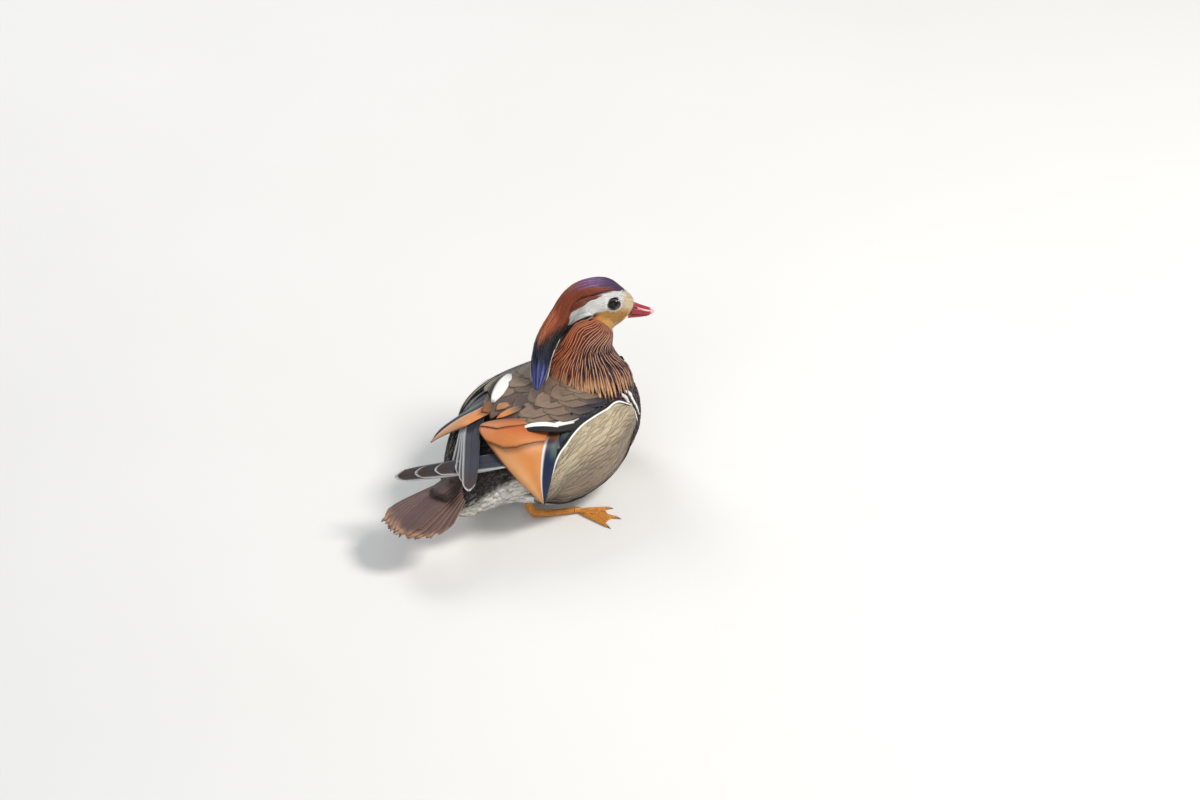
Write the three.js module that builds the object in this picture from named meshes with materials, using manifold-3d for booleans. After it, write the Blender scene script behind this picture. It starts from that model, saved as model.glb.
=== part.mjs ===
// A mandarin drake at life size, settled on its belly with the feet tucked under, in millimetres.
// It is the pose of a bird turning to its right: the head looks right, and the rump and tail bend right.
// +X runs from tail to breast, +Y to the bird's left, +Z up. The origin is the middle of the belly's flat.
import * as THREE from "three";
import Module from "manifold-3d";

const wasm = await Module();
wasm.setup();

// Driving dimensions
const GAP = 0.35; // clearance between nodes that touch
const BODY_SQUARE = 2.3; // how full the body's section is: 2 is an ellipse
const HEAD_CENTRE = [97, -5, 209]; // midpoint between the eyes
const HEAD_TURN = -39; // degrees about +Z, to the bird's right
const HEAD_DIP = 6; // degrees, bill down
const NECK_CUT_HEIGHT = 126;
const HEAD_CUT = { at: [80, 8, 181], normal: [0.43, 0.05, 0.9] };
const EYE = { at: [-1, 12.8, 1.5], radius: 7.2, opening: 5.5 };
const LID_THICKNESS = 1.1;
const LID_SIDES = 5;
const NOSTRIL = { at: [24, 4.6, -8.6], size: [2.2, 1.6, 1.1] };
const VANE = 0.9; // thickness of a feather's vane at its rib
const VANE_EDGE = 0.55; // and at its edges

const CREST_LOCK = { width: 10.5, thick: 2.4 };
const RUFF_LOCK = { width: 12, thick: 2.2, count: 8 }; // hackles a layer on each side
const RUFF_SPREAD = { back: 177, front: 46 }; // degrees from straight ahead
const TAIL_FEATHERS = { count: 11, fan: 48, length: 116, width: 21 };
const TAIL_COVERTS = { count: 5, fan: 36, length: 60, width: 20 };
const PRIMARY = { width: 20, step: 1.35 };
const TOE = { inner: 36, middle: 46, outer: 44, radius: 2.5 };

// Rows of a loft: centre x, y, z, half width, reach up, reach down
const TORSO_ROWS = [
  [121, 0, 86, 0, 0, 0],
  [116, 0, 84, 22, 21, 23],
  [101, 0, 80, 44, 37, 42],
  [78, 0, 74, 62, 47, 56],
  [45, 0, 68, 75, 54, 64],
  [10, 0, 65, 80, 57, 67.5],
  [-25, 0, 64, 81, 56, 67],
  [-58, -2, 63, 74, 52, 57],
  [-88, -9, 62, 58, 43, 43],
  [-112, -17, 60, 43, 34, 34],
  [-131, -24, 58, 34, 25, 28],
  [-148, -30, 55, 25, 16, 21],
  [-160, -33, 53, 14, 9, 12],
  [-167, -35, 52, 0, 0, 0],
];
const NECK_ROWS = [
  [54, 0, 60, 0, 0, 0],
  [56, 0, 84, 52, 50, 50],
  [60, 0, 104, 55, 54, 53],
  [62, 0, 118, 50, 52, 50],
  [63, 2, 131, 41, 45, 41],
  [65, 4, 145, 32, 36, 32],
  [68, 6.5, 160, 26, 28.5, 25],
  [75, 7, 176, 23.5, 26, 24],
  [84, 5, 190, 20, 23, 20],
  [92, 1, 200, 0, 0, 0],
];
// In the head's own frame: X to the bill, Y left, Z up, from the midpoint between the eyes
const HEAD_ROWS = [
  [-37, 0, 0, 0, 0, 0],
  [-33, 0, 0, 11, 12, 13],
  [-24, 0, -1, 17, 18.5, 20],
  [-12, 0, -2, 19.3, 22, 25],
  [0, 0, -4, 18.2, 20.5, 32],
  [9, 0, -7, 14.6, 16.5, 37],
  [16, 0, -10, 11.6, 13.2, 32],
  [21, 0, -12, 7.8, 7.6, 14],
  [23, 0, -12.5, 0, 0, 0],
];
const BILL_UPPER_ROWS = [
  [12, 0, -12.6, 0, 0, 0],
  [13, 0, -12.6, 8, 8.4, 6],
  [20, 0, -13, 8, 8.2, 5.8],
  [28, 0, -13.5, 7, 6, 5],
  [36, 0, -14, 6.1, 4.4, 3.6],
  [41.5, 0, -14.4, 4.9, 3.5, 2.4],
  [44.6, 0, -15, 2.8, 2.2, 1.8],
  [45.8, 0, -15.6, 0, 0, 0],
];
const BILL_LOWER_ROWS = [
  [12, 0, -19.4, 0, 0, 0],
  [13, 0, -19.4, 6.8, 3, 5],
  [22, 0, -19.2, 6.2, 3, 4.2],
  [33, 0, -18.4, 5, 3, 2.8],
  [40, 0, -17.6, 3.5, 2, 1.8],
  [42.4, 0, -17.4, 0, 0, 0],
];

const UP = new THREE.Vector3(0, 0, 1);
const DEGREE = Math.PI / 180;
const point = (x, y, z) => new THREE.Vector3(x, y, z);
const mix = THREE.MathUtils.lerp;

const headFrame = new THREE.Matrix4()
  .makeRotationFromEuler(new THREE.Euler(0, HEAD_DIP * DEGREE, HEAD_TURN * DEGREE, "ZYX"))
  .setPosition(...HEAD_CENTRE);
const headPoint = (x, y, z) => point(x, y, z).applyMatrix4(headFrame);
const headDirection = (x, y, z) => point(x, y, z).transformDirection(headFrame);

// A smooth row between rows of numbers, with s from 0 at the first to 1 at the last.
function along(rows, s) {
  const span = Math.min(Math.max(s, 0), 1) * (rows.length - 1);
  const i = Math.min(Math.floor(span), rows.length - 2);
  const t = span - i;
  const before = rows[Math.max(i - 1, 0)];
  const after = rows[Math.min(i + 2, rows.length - 1)];
  return rows[i].map((start, k) => {
    const end = rows[i + 1][k];
    const leave = (end - before[k]) / 2;
    const arrive = (after[k] - start) / 2;
    const a = 2 * start - 2 * end + leave + arrive;
    const b = 3 * end - 3 * start - 2 * leave - arrive;
    return start + t * (leave + t * (b + t * a));
  });
}

const signedPower = (value, power) => Math.sign(value) * Math.abs(value) ** power;

// Closed triangles as a solid, turned to face outwards.
function solidOf(points, faces) {
  let sixVolumes = 0;
  for (const [a, b, c] of faces) {
    sixVolumes += points[a].dot(points[b].clone().cross(points[c]));
  }
  const turned = sixVolumes < 0 ? faces.map(([a, b, c]) => [a, c, b]) : faces;
  return new wasm.Manifold(
    new wasm.Mesh({
      numProp: 3,
      vertProperties: new Float32Array(points.flatMap((p) => p.toArray())),
      triVerts: new Uint32Array(turned.flat()),
    }),
  );
}

// The ring at s of a loft: its middle, its side and upright directions, and its reaches.
function ringAt(rows, s, up = UP) {
  const [x, y, z, wide, above, below] = along(rows, s);
  const ahead = along(rows, s + 0.01);
  const behind = along(rows, s - 0.01);
  const forward = point(ahead[0] - behind[0], ahead[1] - behind[1], ahead[2] - behind[2]).normalize();
  const side = up.clone().cross(forward).normalize();
  return { middle: point(x, y, z), forward, side, upright: forward.clone().cross(side), wide, above, below };
}

function ringPoint(ring, angle, square, grow) {
  const out = signedPower(Math.sin(angle), 2 / square) * (ring.wide + grow);
  const rise = signedPower(Math.cos(angle), 2 / square);
  const reach = (rise > 0 ? ring.above : ring.below) + grow;
  return ring.middle.clone().addScaledVector(ring.side, out).addScaledVector(ring.upright, rise * reach);
}

// A closed loft through rows, pointed at both ends, in the frame that place maps to the bird's.
function loft(rows, { rings = 10, sides = 12, up = UP, square = 2, grow = 0, place = null } = {}) {
  const points = [];
  const faces = [];
  const first = ringAt(rows, 0, up);
  const last = ringAt(rows, 1, up);
  points.push(first.middle.addScaledVector(first.forward, -grow));
  for (let i = 1; i < rings; i++) {
    const ring = ringAt(rows, i / rings, up);
    for (let k = 0; k < sides; k++) points.push(ringPoint(ring, (k / sides) * 2 * Math.PI, square, grow));
  }
  points.push(last.middle.addScaledVector(last.forward, grow));
  const end = points.length - 1;
  for (let k = 0; k < sides; k++) {
    const next = (k + 1) % sides;
    faces.push([0, 1 + next, 1 + k]);
    for (let i = 0; i < rings - 2; i++) {
      const a = 1 + i * sides;
      const b = a + sides;
      faces.push([a + k, a + next, b + next], [a + k, b + next, b + k]);
    }
    faces.push([end, end - sides + k, end - sides + next]);
  }
  if (place) points.forEach((p) => p.applyMatrix4(place));
  return solidOf(points, faces);
}

// Share of the full width along a feather, as pairs of distance and breadth.
const ROUND_TIP = [[0, 0.6], [0.5, 1], [0.86, 0.84], [1, 0.3]];
const BLUNT_TIP = [[0, 0.45], [0.5, 0.95], [0.9, 0.92], [1, 0.34]];

// One feather: a thin blade along a path, its rib raised a little over its edges.
function vane({ path, up, width, breadths = ROUND_TIP, camber = 0.1, thick = VANE, grow = 0 }) {
  const curve = new THREE.CatmullRomCurve3(path);
  const points = [];
  const faces = [];
  const columns = 3;
  for (const [t, breadth] of breadths) {
    const spine = curve.getPoint(t);
    const forward = curve.getTangent(t);
    const side = up.clone().cross(forward).normalize();
    const upright = forward.clone().cross(side);
    for (const face of [1, -1]) {
      for (let k = -1; k <= 1; k++) {
        const half = ((k ? VANE_EDGE : thick) / 2 + grow) * face;
        const out = k * ((width / 2) * breadth + grow);
        const drop = Math.abs(k) * camber * width * breadth;
        points.push(spine.clone().addScaledVector(side, out).addScaledVector(upright, half - drop));
      }
    }
  }
  const steps = breadths.length - 1;
  const stride = 2 * columns;
  for (let i = 0; i < steps; i++) {
    const a = i * stride;
    const b = a + stride;
    for (let k = 0; k < columns - 1; k++) {
      faces.push([a + k, a + k + 1, b + k + 1], [a + k, b + k + 1, b + k]);
      const [c, d] = [a + columns, b + columns];
      faces.push([c + k, d + k + 1, c + k + 1], [c + k, d + k, d + k + 1]);
    }
    for (const [k, turn] of [[0, true], [columns - 1, false]]) {
      const wall = [a + k, b + k, b + columns + k, a + columns + k];
      const [p, q, r, s] = turn ? wall : wall.reverse();
      faces.push([p, q, r], [p, r, s]);
    }
  }
  for (const [row, turn] of [[0, false], [steps * stride, true]]) {
    for (let k = 0; k < columns - 1; k++) {
      const wall = [row + k, row + k + 1, row + columns + k + 1, row + columns + k];
      const [p, q, r, s] = turn ? wall : wall.reverse();
      faces.push([p, q, r], [p, r, s]);
    }
  }
  return solidOf(points, faces);
}

// One flat, tapered lock along a path, four-sided and pointed.
function lock({ path, up, width, thick, grow = 0, shape = [0, 0.85, 1, 0.62, 0] }) {
  const curve = new THREE.CatmullRomCurve3(path);
  const last = shape.length - 1;
  const rows = shape.map((share, i) => {
    const p = curve.getPoint(i / last);
    return [p.x, p.y, p.z, (width / 2) * share, (thick / 2) * Math.sqrt(share), (thick / 2) * Math.sqrt(share)];
  });
  return loft(rows, { rings: last, sides: 4, up, grow });
}

const joined = (solids) => solids.reduce((whole, next) => whole.add(next));

// The largest closed piece of a solid.
function largest(solid) {
  return solid.decompose().reduce((best, next) => (next.volume() > best.volume() ? next : best));
}

// The body's surface
const torso = (grow = 0) => loft(TORSO_ROWS, { rings: 21, sides: 22, square: BODY_SQUARE, grow });

// The share along the torso's rows at which its rings stand at x.
function torsoShare(x) {
  let low = 0;
  let high = 1;
  for (let i = 0; i < 30; i++) {
    const middle = (low + high) / 2;
    if (along(TORSO_ROWS, middle)[0] > x) low = middle;
    else high = middle;
  }
  return (low + high) / 2;
}

// A point over the torso at x, at an angle from the back's ridge towards the left, lifted off the surface.
function bodyPoint(x, degrees, lift) {
  const ring = ringAt(TORSO_ROWS, torsoShare(x));
  const at = (angle) => {
    const out = signedPower(Math.sin(angle), 2 / BODY_SQUARE) * ring.wide;
    const rise = signedPower(Math.cos(angle), 2 / BODY_SQUARE);
    return point(
      ring.middle.x,
      ring.middle.y + out,
      ring.middle.z + rise * (rise > 0 ? ring.above : ring.below),
    );
  };
  const angle = degrees * DEGREE;
  const here = at(angle);
  const across = at(angle + 0.02).sub(at(angle - 0.02)).normalize();
  const outward = point(1, 0, 0).cross(across).normalize();
  return here.addScaledVector(outward, lift);
}

function bodyNormal(x, degrees) {
  return bodyPoint(x, degrees, 1).sub(bodyPoint(x, degrees, 0)).normalize();
}

// A closed slab between two grids: at(i, k, face) gives its points, face 1 outside and -1 inside.
function slab(rows, columns, at) {
  const points = [];
  const faces = [];
  for (let i = 0; i <= rows; i++) {
    for (const face of [1, -1]) {
      for (let k = 0; k <= columns; k++) points.push(at(i / rows, k / columns, face));
    }
  }
  const width = columns + 1;
  const stride = 2 * width;
  for (let i = 0; i < rows; i++) {
    const a = i * stride;
    const b = a + stride;
    const [c, d] = [a + width, b + width];
    for (let k = 0; k < columns; k++) {
      faces.push([a + k, a + k + 1, b + k + 1], [a + k, b + k + 1, b + k]);
      faces.push([c + k, d + k + 1, c + k + 1], [c + k, d + k, d + k + 1]);
    }
    faces.push([a, b, d], [a, d, c]);
    const [p, q] = [a + columns, b + columns];
    faces.push([p, p + width, q + width], [p, q + width, q]);
  }
  for (const [row, turn] of [[0, true], [rows * stride, false]]) {
    for (let k = 0; k < columns; k++) {
      const wall = [row + k, row + width + k, row + width + k + 1, row + k + 1];
      const [p, q, r, s] = turn ? wall : wall.reverse();
      faces.push([p, q, r], [p, r, s]);
    }
  }
  return solidOf(points, faces);
}

// A pillow on the torso's side between x front and rear, from an upper to a lower angle, swelling to high.
function pillow({ front, rear, upper, lower, high, rows = 12, columns = 8, side = 1, grow = 0, full = 0.55 }) {
  const SUNK = 4;
  const EDGE_SUNK = 1.6;
  const margin = grow * 0.8;
  return slab(rows, columns, (s, q, face) => {
    const angle = mix(upper(s) - margin, lower(s) + margin, q) * side;
    const swell = (Math.sin(Math.PI * s) * Math.sin(Math.PI * q)) ** full;
    const lift = face > 0 ? high(s) * swell - EDGE_SUNK * (1 - swell) + grow : -SUNK;
    return bodyPoint(mix(front + grow, rear - grow, s), angle, lift);
  });
}

// Flesh: torso, neck and head are one form, parted by thin cuts
const NECK_UP = point(-1, 0, 0); // the neck's rings are turned to the nape
const neck = (grow = 0) => loft(NECK_ROWS, { rings: 14, sides: 20, up: NECK_UP, grow });
const head = (grow = 0) => loft(HEAD_ROWS, { rings: 13, sides: 18, grow, place: headFrame });
const eyeAt = (side) => headPoint(EYE.at[0], EYE.at[1] * side, EYE.at[2]);

// A ball of three.js as a solid, stretched to its half sizes.
function ball(centre, halfSizes, detail = 10, turn = null) {
  const sphere = new THREE.SphereGeometry(1, 2 * detail, detail);
  sphere.scale(...halfSizes);
  if (turn) sphere.applyMatrix4(turn);
  sphere.translate(centre.x, centre.y, centre.z);
  return solidOfGeometry(sphere);
}

// A closed three.js geometry as a solid, its vertices joined by place.
function solidOfGeometry(geometry) {
  const position = geometry.getAttribute("position");
  const index = geometry.index ? [...geometry.index.array] : [...Array(position.count).keys()];
  const seen = new Map();
  const points = [];
  const joinedIndex = index.map((i) => {
    const p = point().fromBufferAttribute(position, i);
    const key = p.toArray().map((v) => v.toFixed(4)).join(" ");
    if (!seen.has(key)) {
      seen.set(key, points.length);
      points.push(p);
    }
    return seen.get(key);
  });
  const faces = [];
  for (let i = 0; i < joinedIndex.length; i += 3) {
    const [a, b, c] = joinedIndex.slice(i, i + 3);
    if (a !== b && b !== c && a !== c) faces.push([a, b, c]);
  }
  return solidOf(points, faces);
}

const headTurn = new THREE.Matrix4().extractRotation(headFrame);
const eyeball = (side, grow = 0) => ball(eyeAt(side), Array(3).fill(EYE.radius + grow), 6);

// The lids: a low rim round the eye's opening, deeper at the front and rear corners.
function lids(side) {
  const outward = headDirection(0, side, 0.12);
  const centre = eyeAt(side).addScaledVector(outward, EYE.radius * 0.62);
  const profile = [];
  for (let k = 0; k < LID_SIDES; k++) {
    const angle = (k / LID_SIDES) * 2 * Math.PI;
    profile.push(new THREE.Vector2(
      EYE.opening + 0.9 + Math.cos(angle) * LID_THICKNESS * 1.2,
      Math.sin(angle) * LID_THICKNESS,
    ));
  }
  profile.push(profile[0].clone());
  const rim = new THREE.LatheGeometry(profile, 12);
  rim.applyMatrix4(new THREE.Matrix4().makeScale(1.06, 1, 0.94));
  rim.applyQuaternion(new THREE.Quaternion().setFromUnitVectors(point(0, 1, 0), outward));
  rim.translate(centre.x, centre.y, centre.z);
  return solidOfGeometry(rim);
}

const billUpper = (grow = 0) => loft(BILL_UPPER_ROWS, { rings: 9, sides: 12, square: 2.2, grow, place: headFrame });
const billLower = (grow = 0) => loft(BILL_LOWER_ROWS, { rings: 7, sides: 10, square: 2.4, grow, place: headFrame });
const billNail = (grow = 0) => ball(headPoint(43, 0, -13.2), [3.2 + grow, 2.6 + grow, 1.7 + grow], 4, headTurn);
const nostril = (side) => ball(
  headPoint(NOSTRIL.at[0], NOSTRIL.at[1] * side, NOSTRIL.at[2]),
  NOSTRIL.size,
  4,
  headTurn,
);

const flesh = (grow = 0) => joined([torso(grow), neck(grow), head(grow)]);
const wholeFlesh = flesh();
const grownFlesh = flesh(GAP);
const headCutNormal = point(...HEAD_CUT.normal).normalize();
const headCutOffset = headCutNormal.dot(point(...HEAD_CUT.at));

// The part of a solid on the far side of a plane along its normal, half a gap off it.
const beyond = (solid, normal, offset) => solid.trimByPlane(normal.toArray(), offset + GAP / 2);
const before = (solid, normal, offset) => solid.trimByPlane(normal.clone().negate().toArray(), -offset + GAP / 2);
const aboveFloor = (solid) => solid.trimByPlane([0, 0, 1], 0);

const torsoSolid = aboveFloor(before(wholeFlesh, UP, NECK_CUT_HEIGHT));
const neckSolid = before(beyond(wholeFlesh, UP, NECK_CUT_HEIGHT), headCutNormal, headCutOffset);
const headSolid = beyond(beyond(wholeFlesh, UP, NECK_CUT_HEIGHT), headCutNormal, headCutOffset)
  .add(lids(1))
  .add(lids(-1))
  .subtract(eyeball(1, GAP))
  .subtract(eyeball(-1, GAP));

const headGrown = head(GAP);
const billUpperSolid = billUpper().add(billNail()).subtract(nostril(1)).subtract(nostril(-1)).subtract(headGrown);
const billLowerSolid = billLower().subtract(headGrown).subtract(billUpper(GAP)).subtract(billNail(GAP));

// Crest: a core on the crown and nape, and flat locks in tiers that overlap down to the tip
const CREST_SPINE = [
  headPoint(10, 0, 9),
  headPoint(-10, 0, 16.5),
  headPoint(-30, 0, 11),
  headPoint(-46, 0, -4),
  point(46, 28, 187),
  point(28, 26, 173),
  point(12, 20.5, 154),
  point(-1, 9, 140),
  point(-14.5, -4, 126.5),
];
// Half depth and half width of the fall, at even steps along the spine
const CREST_SECTION = [
  [2.5, 5],
  [5.5, 10.5],
  [9, 12.5],
  [11.5, 12],
  [13.5, 11.5],
  [15, 11],
  [16, 10.5],
  [13.5, 9.5],
  [3, 3],
];
const CREST_CORE_END = 0.5;
// Share along the spine of root and tip, share of the full section, locks, and degrees round from the ridge,
// or from the inner side
const CREST_TIERS = [
  { root: 0.02, tip: 0.36, swell: 0.93, count: 4, reach: 80 },
  { root: 0.15, tip: 0.58, swell: 0.96, count: 5, reach: 108 },
  { root: 0.31, tip: 0.78, swell: 0.94, count: 6, reach: 132 },
  { root: 0.4, tip: 0.92, swell: 0.7, count: 4, reach: 130 },
  { root: 0.44, tip: 1, swell: 0.32, count: 2, reach: 90 },
  { root: 0.24, tip: 0.7, swell: 1.2, count: 3, reach: 32, inner: true },
];
const crestCurve = new THREE.CatmullRomCurve3(CREST_SPINE);

// The crest's directions at share s of its spine: down the fall, to the bird's left, and away from the neck.
function crestFrame(s) {
  const forward = crestCurve.getTangent(s);
  const side = forward.clone().cross(UP).normalize();
  return { forward, side, outward: side.clone().cross(forward) };
}

// A point of the crest at share s, round its section from the outer ridge, at a share of its full size.
function crestPoint(s, degrees, swell) {
  const { side, outward } = crestFrame(s);
  const [deep, wide] = along(CREST_SECTION, s);
  return crestCurve.getPoint(s)
    .addScaledVector(outward, Math.cos(degrees * DEGREE) * deep * swell)
    .addScaledVector(side, Math.sin(degrees * DEGREE) * wide * swell);
}

function crestCore(grow = 0) {
  const rings = 8;
  const rows = [];
  for (let i = 0; i <= rings; i++) {
    const s = mix(0.01, CREST_CORE_END, i / rings);
    const [deep, wide] = along(CREST_SECTION, s);
    const share = Math.min(1, Math.sqrt(Math.sin(Math.PI * (i / rings))) * 1.15) * 0.82;
    const p = crestCurve.getPoint(s);
    rows.push([p.x, p.y, p.z, deep * share, wide * share, wide * share]);
  }
  return loft(rows, { rings, sides: 10, up: crestFrame(0.4).side, grow });
}

function crest(grow = 0) {
  const locks = [];
  CREST_TIERS.forEach(({ root, tip, swell, count, reach, inner }, tier) => {
    for (let k = 0; k < count; k++) {
      const q = (k / (count - 1)) * 2 - 1; // from the right side to the left
      const degrees = (inner ? 180 : 0) + q * reach;
      const end = tip - 0.07 * Math.abs(q) + 0.012 * ((k + tier) % 2);
      const path = [
        crestPoint(root, degrees, swell * 0.55),
        crestPoint(mix(root, end, 0.35), degrees, swell * 0.98),
        crestPoint(mix(root, end, 0.7), degrees, swell * 1.04),
        crestPoint(end, degrees, swell * 0.86),
      ];
      const middle = mix(root, end, 0.5);
      const up = crestPoint(middle, degrees, 1).sub(crestCurve.getPoint(middle)).normalize();
      locks.push(lock({ path, up, ...CREST_LOCK, grow, shape: [0.4, 0.95, 1, 0.78, 0] }));
    }
  });
  return joined([crestCore(grow), ...locks]);
}

// Ruff: pointed hackles fanned from the cheek over the neck's side to the shoulder
// In the head's own frame, where the hackles grow, from the nape to the throat
const RUFF_ROOTS = [
  [-27, 12, -10],
  [-20, 18, -11],
  [-11, 18.5, -18],
  [-4, 14.5, -28],
  [1, 9, -34],
];
const RUFF_TIP_HEIGHTS = [[126], [124], [121], [117], [114]];

// The share along the neck's rows at which its axis stands at a height.
function neckShare(height) {
  let low = 0;
  let high = 1;
  for (let i = 0; i < 30; i++) {
    const middle = (low + high) / 2;
    if (along(NECK_ROWS, middle)[2] < height) low = middle;
    else high = middle;
  }
  return low;
}

// A hackle's line from its root to its tip, lifted off the neck.
function hackleLine(side, q, lift) {
  const angle = mix(RUFF_SPREAD.back, RUFF_SPREAD.front, q) * DEGREE;
  const outward = point(Math.cos(angle), side * Math.sin(angle), 0);
  const [x, y, z] = along(RUFF_ROOTS, q);
  const [tipHeight] = along(RUFF_TIP_HEIGHTS, q);
  const stops = [0.18, 0.5, 0.8, 1].map((t) => {
    const ring = ringAt(NECK_ROWS, neckShare(mix(168, tipHeight, t)), NECK_UP);
    return ringPoint(ring, side * (Math.PI - angle), 2, lift * (1 - 0.2 * t));
  });
  return { outward, curve: new THREE.CatmullRomCurve3([headPoint(x, side * (y + lift * 0.7), z), ...stops]) };
}

function hackle(side, q, layer, grow) {
  const { outward, curve } = hackleLine(side, q, 2.4);
  const [from, to] = layer ? [0.24, 0.83] : [0.16, 1];
  const path = [0, 0.25, 0.5, 0.75, 1].map((t) => {
    const rise = layer ? 2.4 * Math.min(1, t * 2) : 0;
    return curve.getPoint(mix(from, to, t)).addScaledVector(outward, rise);
  });
  const up = outward.clone().add(point(0, 0, 0.45)).normalize();
  return lock({ path, up, width: RUFF_LOCK.width, thick: RUFF_LOCK.thick, grow, shape: [0.42, 0.7, 1, 0.7, 0] });
}

// The short feathers that the hackles grow from: a low core over the cheek and the upper neck.
function ruffCore(side, grow = 0) {
  const SUNK = 5;
  const from = 0.02;
  const to = 0.42;
  return slab(4, 7, (t, q, face) => {
    const spread = Math.min(Math.max(mix(-0.02, 1.02, q), 0), 1);
    const { outward, curve } = hackleLine(side, spread, 2.6);
    const rim = Math.min(1, 5 * Math.min(t, 1 - t, q, 1 - q));
    const p = curve.getPoint(mix(from, to, t));
    return p.addScaledVector(outward, face > 0 ? grow + 1.3 * rim : -SUNK);
  });
}

function ruff(side, grow = 0) {
  const hackles = [];
  for (let layer = 0; layer < 2; layer++) {
    const count = RUFF_LOCK.count - layer;
    for (let k = 0; k < count; k++) {
      hackles.push(hackle(side, (k + 0.5 * layer) / (RUFF_LOCK.count - 1), layer, grow));
    }
  }
  return joined([ruffCore(side, grow), ...hackles]);
}

const crestWhole = crest();
const crestGrown = crest(GAP);
const crestSolid = largest(crestWhole.subtract(grownFlesh));
const lidsBoth = [1, -1].map(lids);
const round = [grownFlesh, crestGrown, ...lidsBoth];
const ruffAround = (side, solids) => largest(solids.reduce((whole, next) => whole.subtract(next), ruff(side)));
const ruffSolids = new Map([
  [-1, ruffAround(-1, round)],
  [1, ruffAround(1, [...round, ruff(-1, GAP)])],
]);

// Flanks and folded wings: pillows of feathers laid on the torso
// Degrees from the back's ridge, at even steps from front to rear
const FLANK_UPPER = [[64], [46], [45], [45], [47], [54], [67], [104]];
const FLANK_LOWER = [[92], [118], [127], [131], [131], [128], [123], [112]];
const WING_UPPER = [[34], [16], [7], [3], [3], [3], [3]];
const WING_LOWER = [[40], [43], [43], [43], [40], [32], [20]];

const flank = (side, grow = 0) => pillow({
  front: 80,
  rear: side > 0 ? -82 : -68,
  upper: (s) => along(FLANK_UPPER, s)[0],
  lower: (s) => along(FLANK_LOWER, s)[0],
  high: (s) => 9 + 3 * s,
  rows: 12,
  columns: 7,
  side,
  grow,
});

const wingPad = (side, grow = 0) => pillow({
  front: 54,
  rear: -60,
  upper: (s) => along(WING_UPPER, s)[0],
  lower: (s) => along(WING_LOWER, s)[0],
  high: (s) => 7 - s,
  rows: 7,
  columns: 4,
  side,
  grow,
});

// A feather laid over the torso from one place to another, each x, angle and lift.
function laidVane(side, from, to, width, options = {}) {
  const stops = [0, 0.33, 0.67, 1].map((t) => {
    const lift = mix(from[2], to[2], t) + Math.sin(Math.PI * t) * (options.arch ?? 0.8);
    return bodyPoint(mix(from[0], to[0], t), side * mix(from[1], to[1], t), lift);
  });
  const up = bodyNormal(mix(from[0], to[0], 0.5), side * mix(from[1], to[1], 0.5));
  return vane({ path: stops, up, width, ...options });
}

// Scapulars: tiers of broad feathers over the folded wing, the rear ones longest and turned inwards
const SCAPULAR_TIERS = [
  { from: 38, to: -2, count: 3, inner: [10, 7], outer: [37, 38], width: 24, lift: 8.2 },
  { from: 14, to: -28, count: 3, inner: [7, 6], outer: [38, 41], width: 24, lift: 8.2 },
  { from: -10, to: -54, count: 4, inner: [6, 5], outer: [43, 38], width: 21, lift: 8.2 },
  { from: -28, to: -69, count: 2, inner: [7, 6], outer: [24, 20], width: 21, lift: 9.4 },
];
const SCAPULAR_STEP = 1.1; // how much lower each feather of a tier lies than the one above it

function wing(side, grow = 0) {
  const feathers = [];
  SCAPULAR_TIERS.forEach(({ from, to, count, inner, outer, width, lift }) => {
    for (let k = 0; k < count; k++) {
      const q = k / (count - 1);
      const below = SCAPULAR_STEP * k;
      const start = [from - 4 * q, mix(inner[0], outer[0], q), lift - 3 - below];
      const end = [to + 12 * q, mix(inner[1], outer[1], q), lift + 2.6 - below];
      feathers.push(laidVane(side, start, end, width, { grow, camber: 0.02, thick: 1 }));
    }
  });
  return joined([wingPad(side, grow), ...feathers]);
}

// Sails: the last wing feather, its inner web spread into an upright fan over the flank's rear end
const SAIL_THICK = 1.2;
const SAIL_ROWS = 8;
const SAIL_COLUMNS = 5;
const SAIL_RIB = 0.25; // share of the breadth at which the rib lies
// The rim of the outer web, the rib, and the rim of the inner web, from under the scapulars to the tip
const SAIL_LINES = {
  right: {
    web: [[-24, -58, 109], [-36, -69, 105], [-48, -79, 93], [-60, -85, 70], [-69, -86, 45]],
    rib: [[-26, -46, 108], [-50, -65, 108], [-62, -74, 98], [-70, -81, 74], [-70, -85, 45]],
    inner: [[-50, -14, 114], [-93, -2, 115.5], [-103, -30, 110], [-97, -63, 86], [-71, -84, 46]],
  },
  left: {
    web: [[-28, 50, 112], [-58, 38, 113], [-84, 53, 94], [-100, 65, 76], [-110, 67, 63]],
    rib: [[-30, 36, 112], [-62, 25, 115.5], [-86, 41, 98], [-101, 57, 78], [-111, 66, 63]],
    inner: [[-50, 12, 115], [-92, 7, 119], [-110, 9, 116], [-114, 38, 90], [-111, 65, 64]],
  },
};

function sail(side, grow = 0) {
  const lines = side > 0 ? SAIL_LINES.left : SAIL_LINES.right;
  const lineAt = (line, s) => point(...along(line, s));
  return slab(SAIL_ROWS, SAIL_COLUMNS, (s, q, face) => {
    const [web, rib, inner] = [lines.web, lines.rib, lines.inner].map((line) => lineAt(line, s));
    const across = inner.clone().sub(web);
    const breadth = across.length();
    const down = lineAt(lines.rib, s + 0.02).sub(lineAt(lines.rib, s - 0.02));
    const normal = across.clone().cross(down).normalize();
    if (normal.z < 0) normal.negate();
    const past = (q - SAIL_RIB) / (1 - SAIL_RIB);
    const p = past < 0 ? web.lerp(rib, q / SAIL_RIB) : rib.lerp(inner, past);
    const belly = past < 0 ? 0 : Math.sin(Math.PI * past) * breadth * 0.1;
    p.addScaledVector(across.normalize(), (2 * q - 1) * grow);
    return p.addScaledVector(normal, belly + face * (SAIL_THICK / 2 + grow));
  });
}

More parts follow.
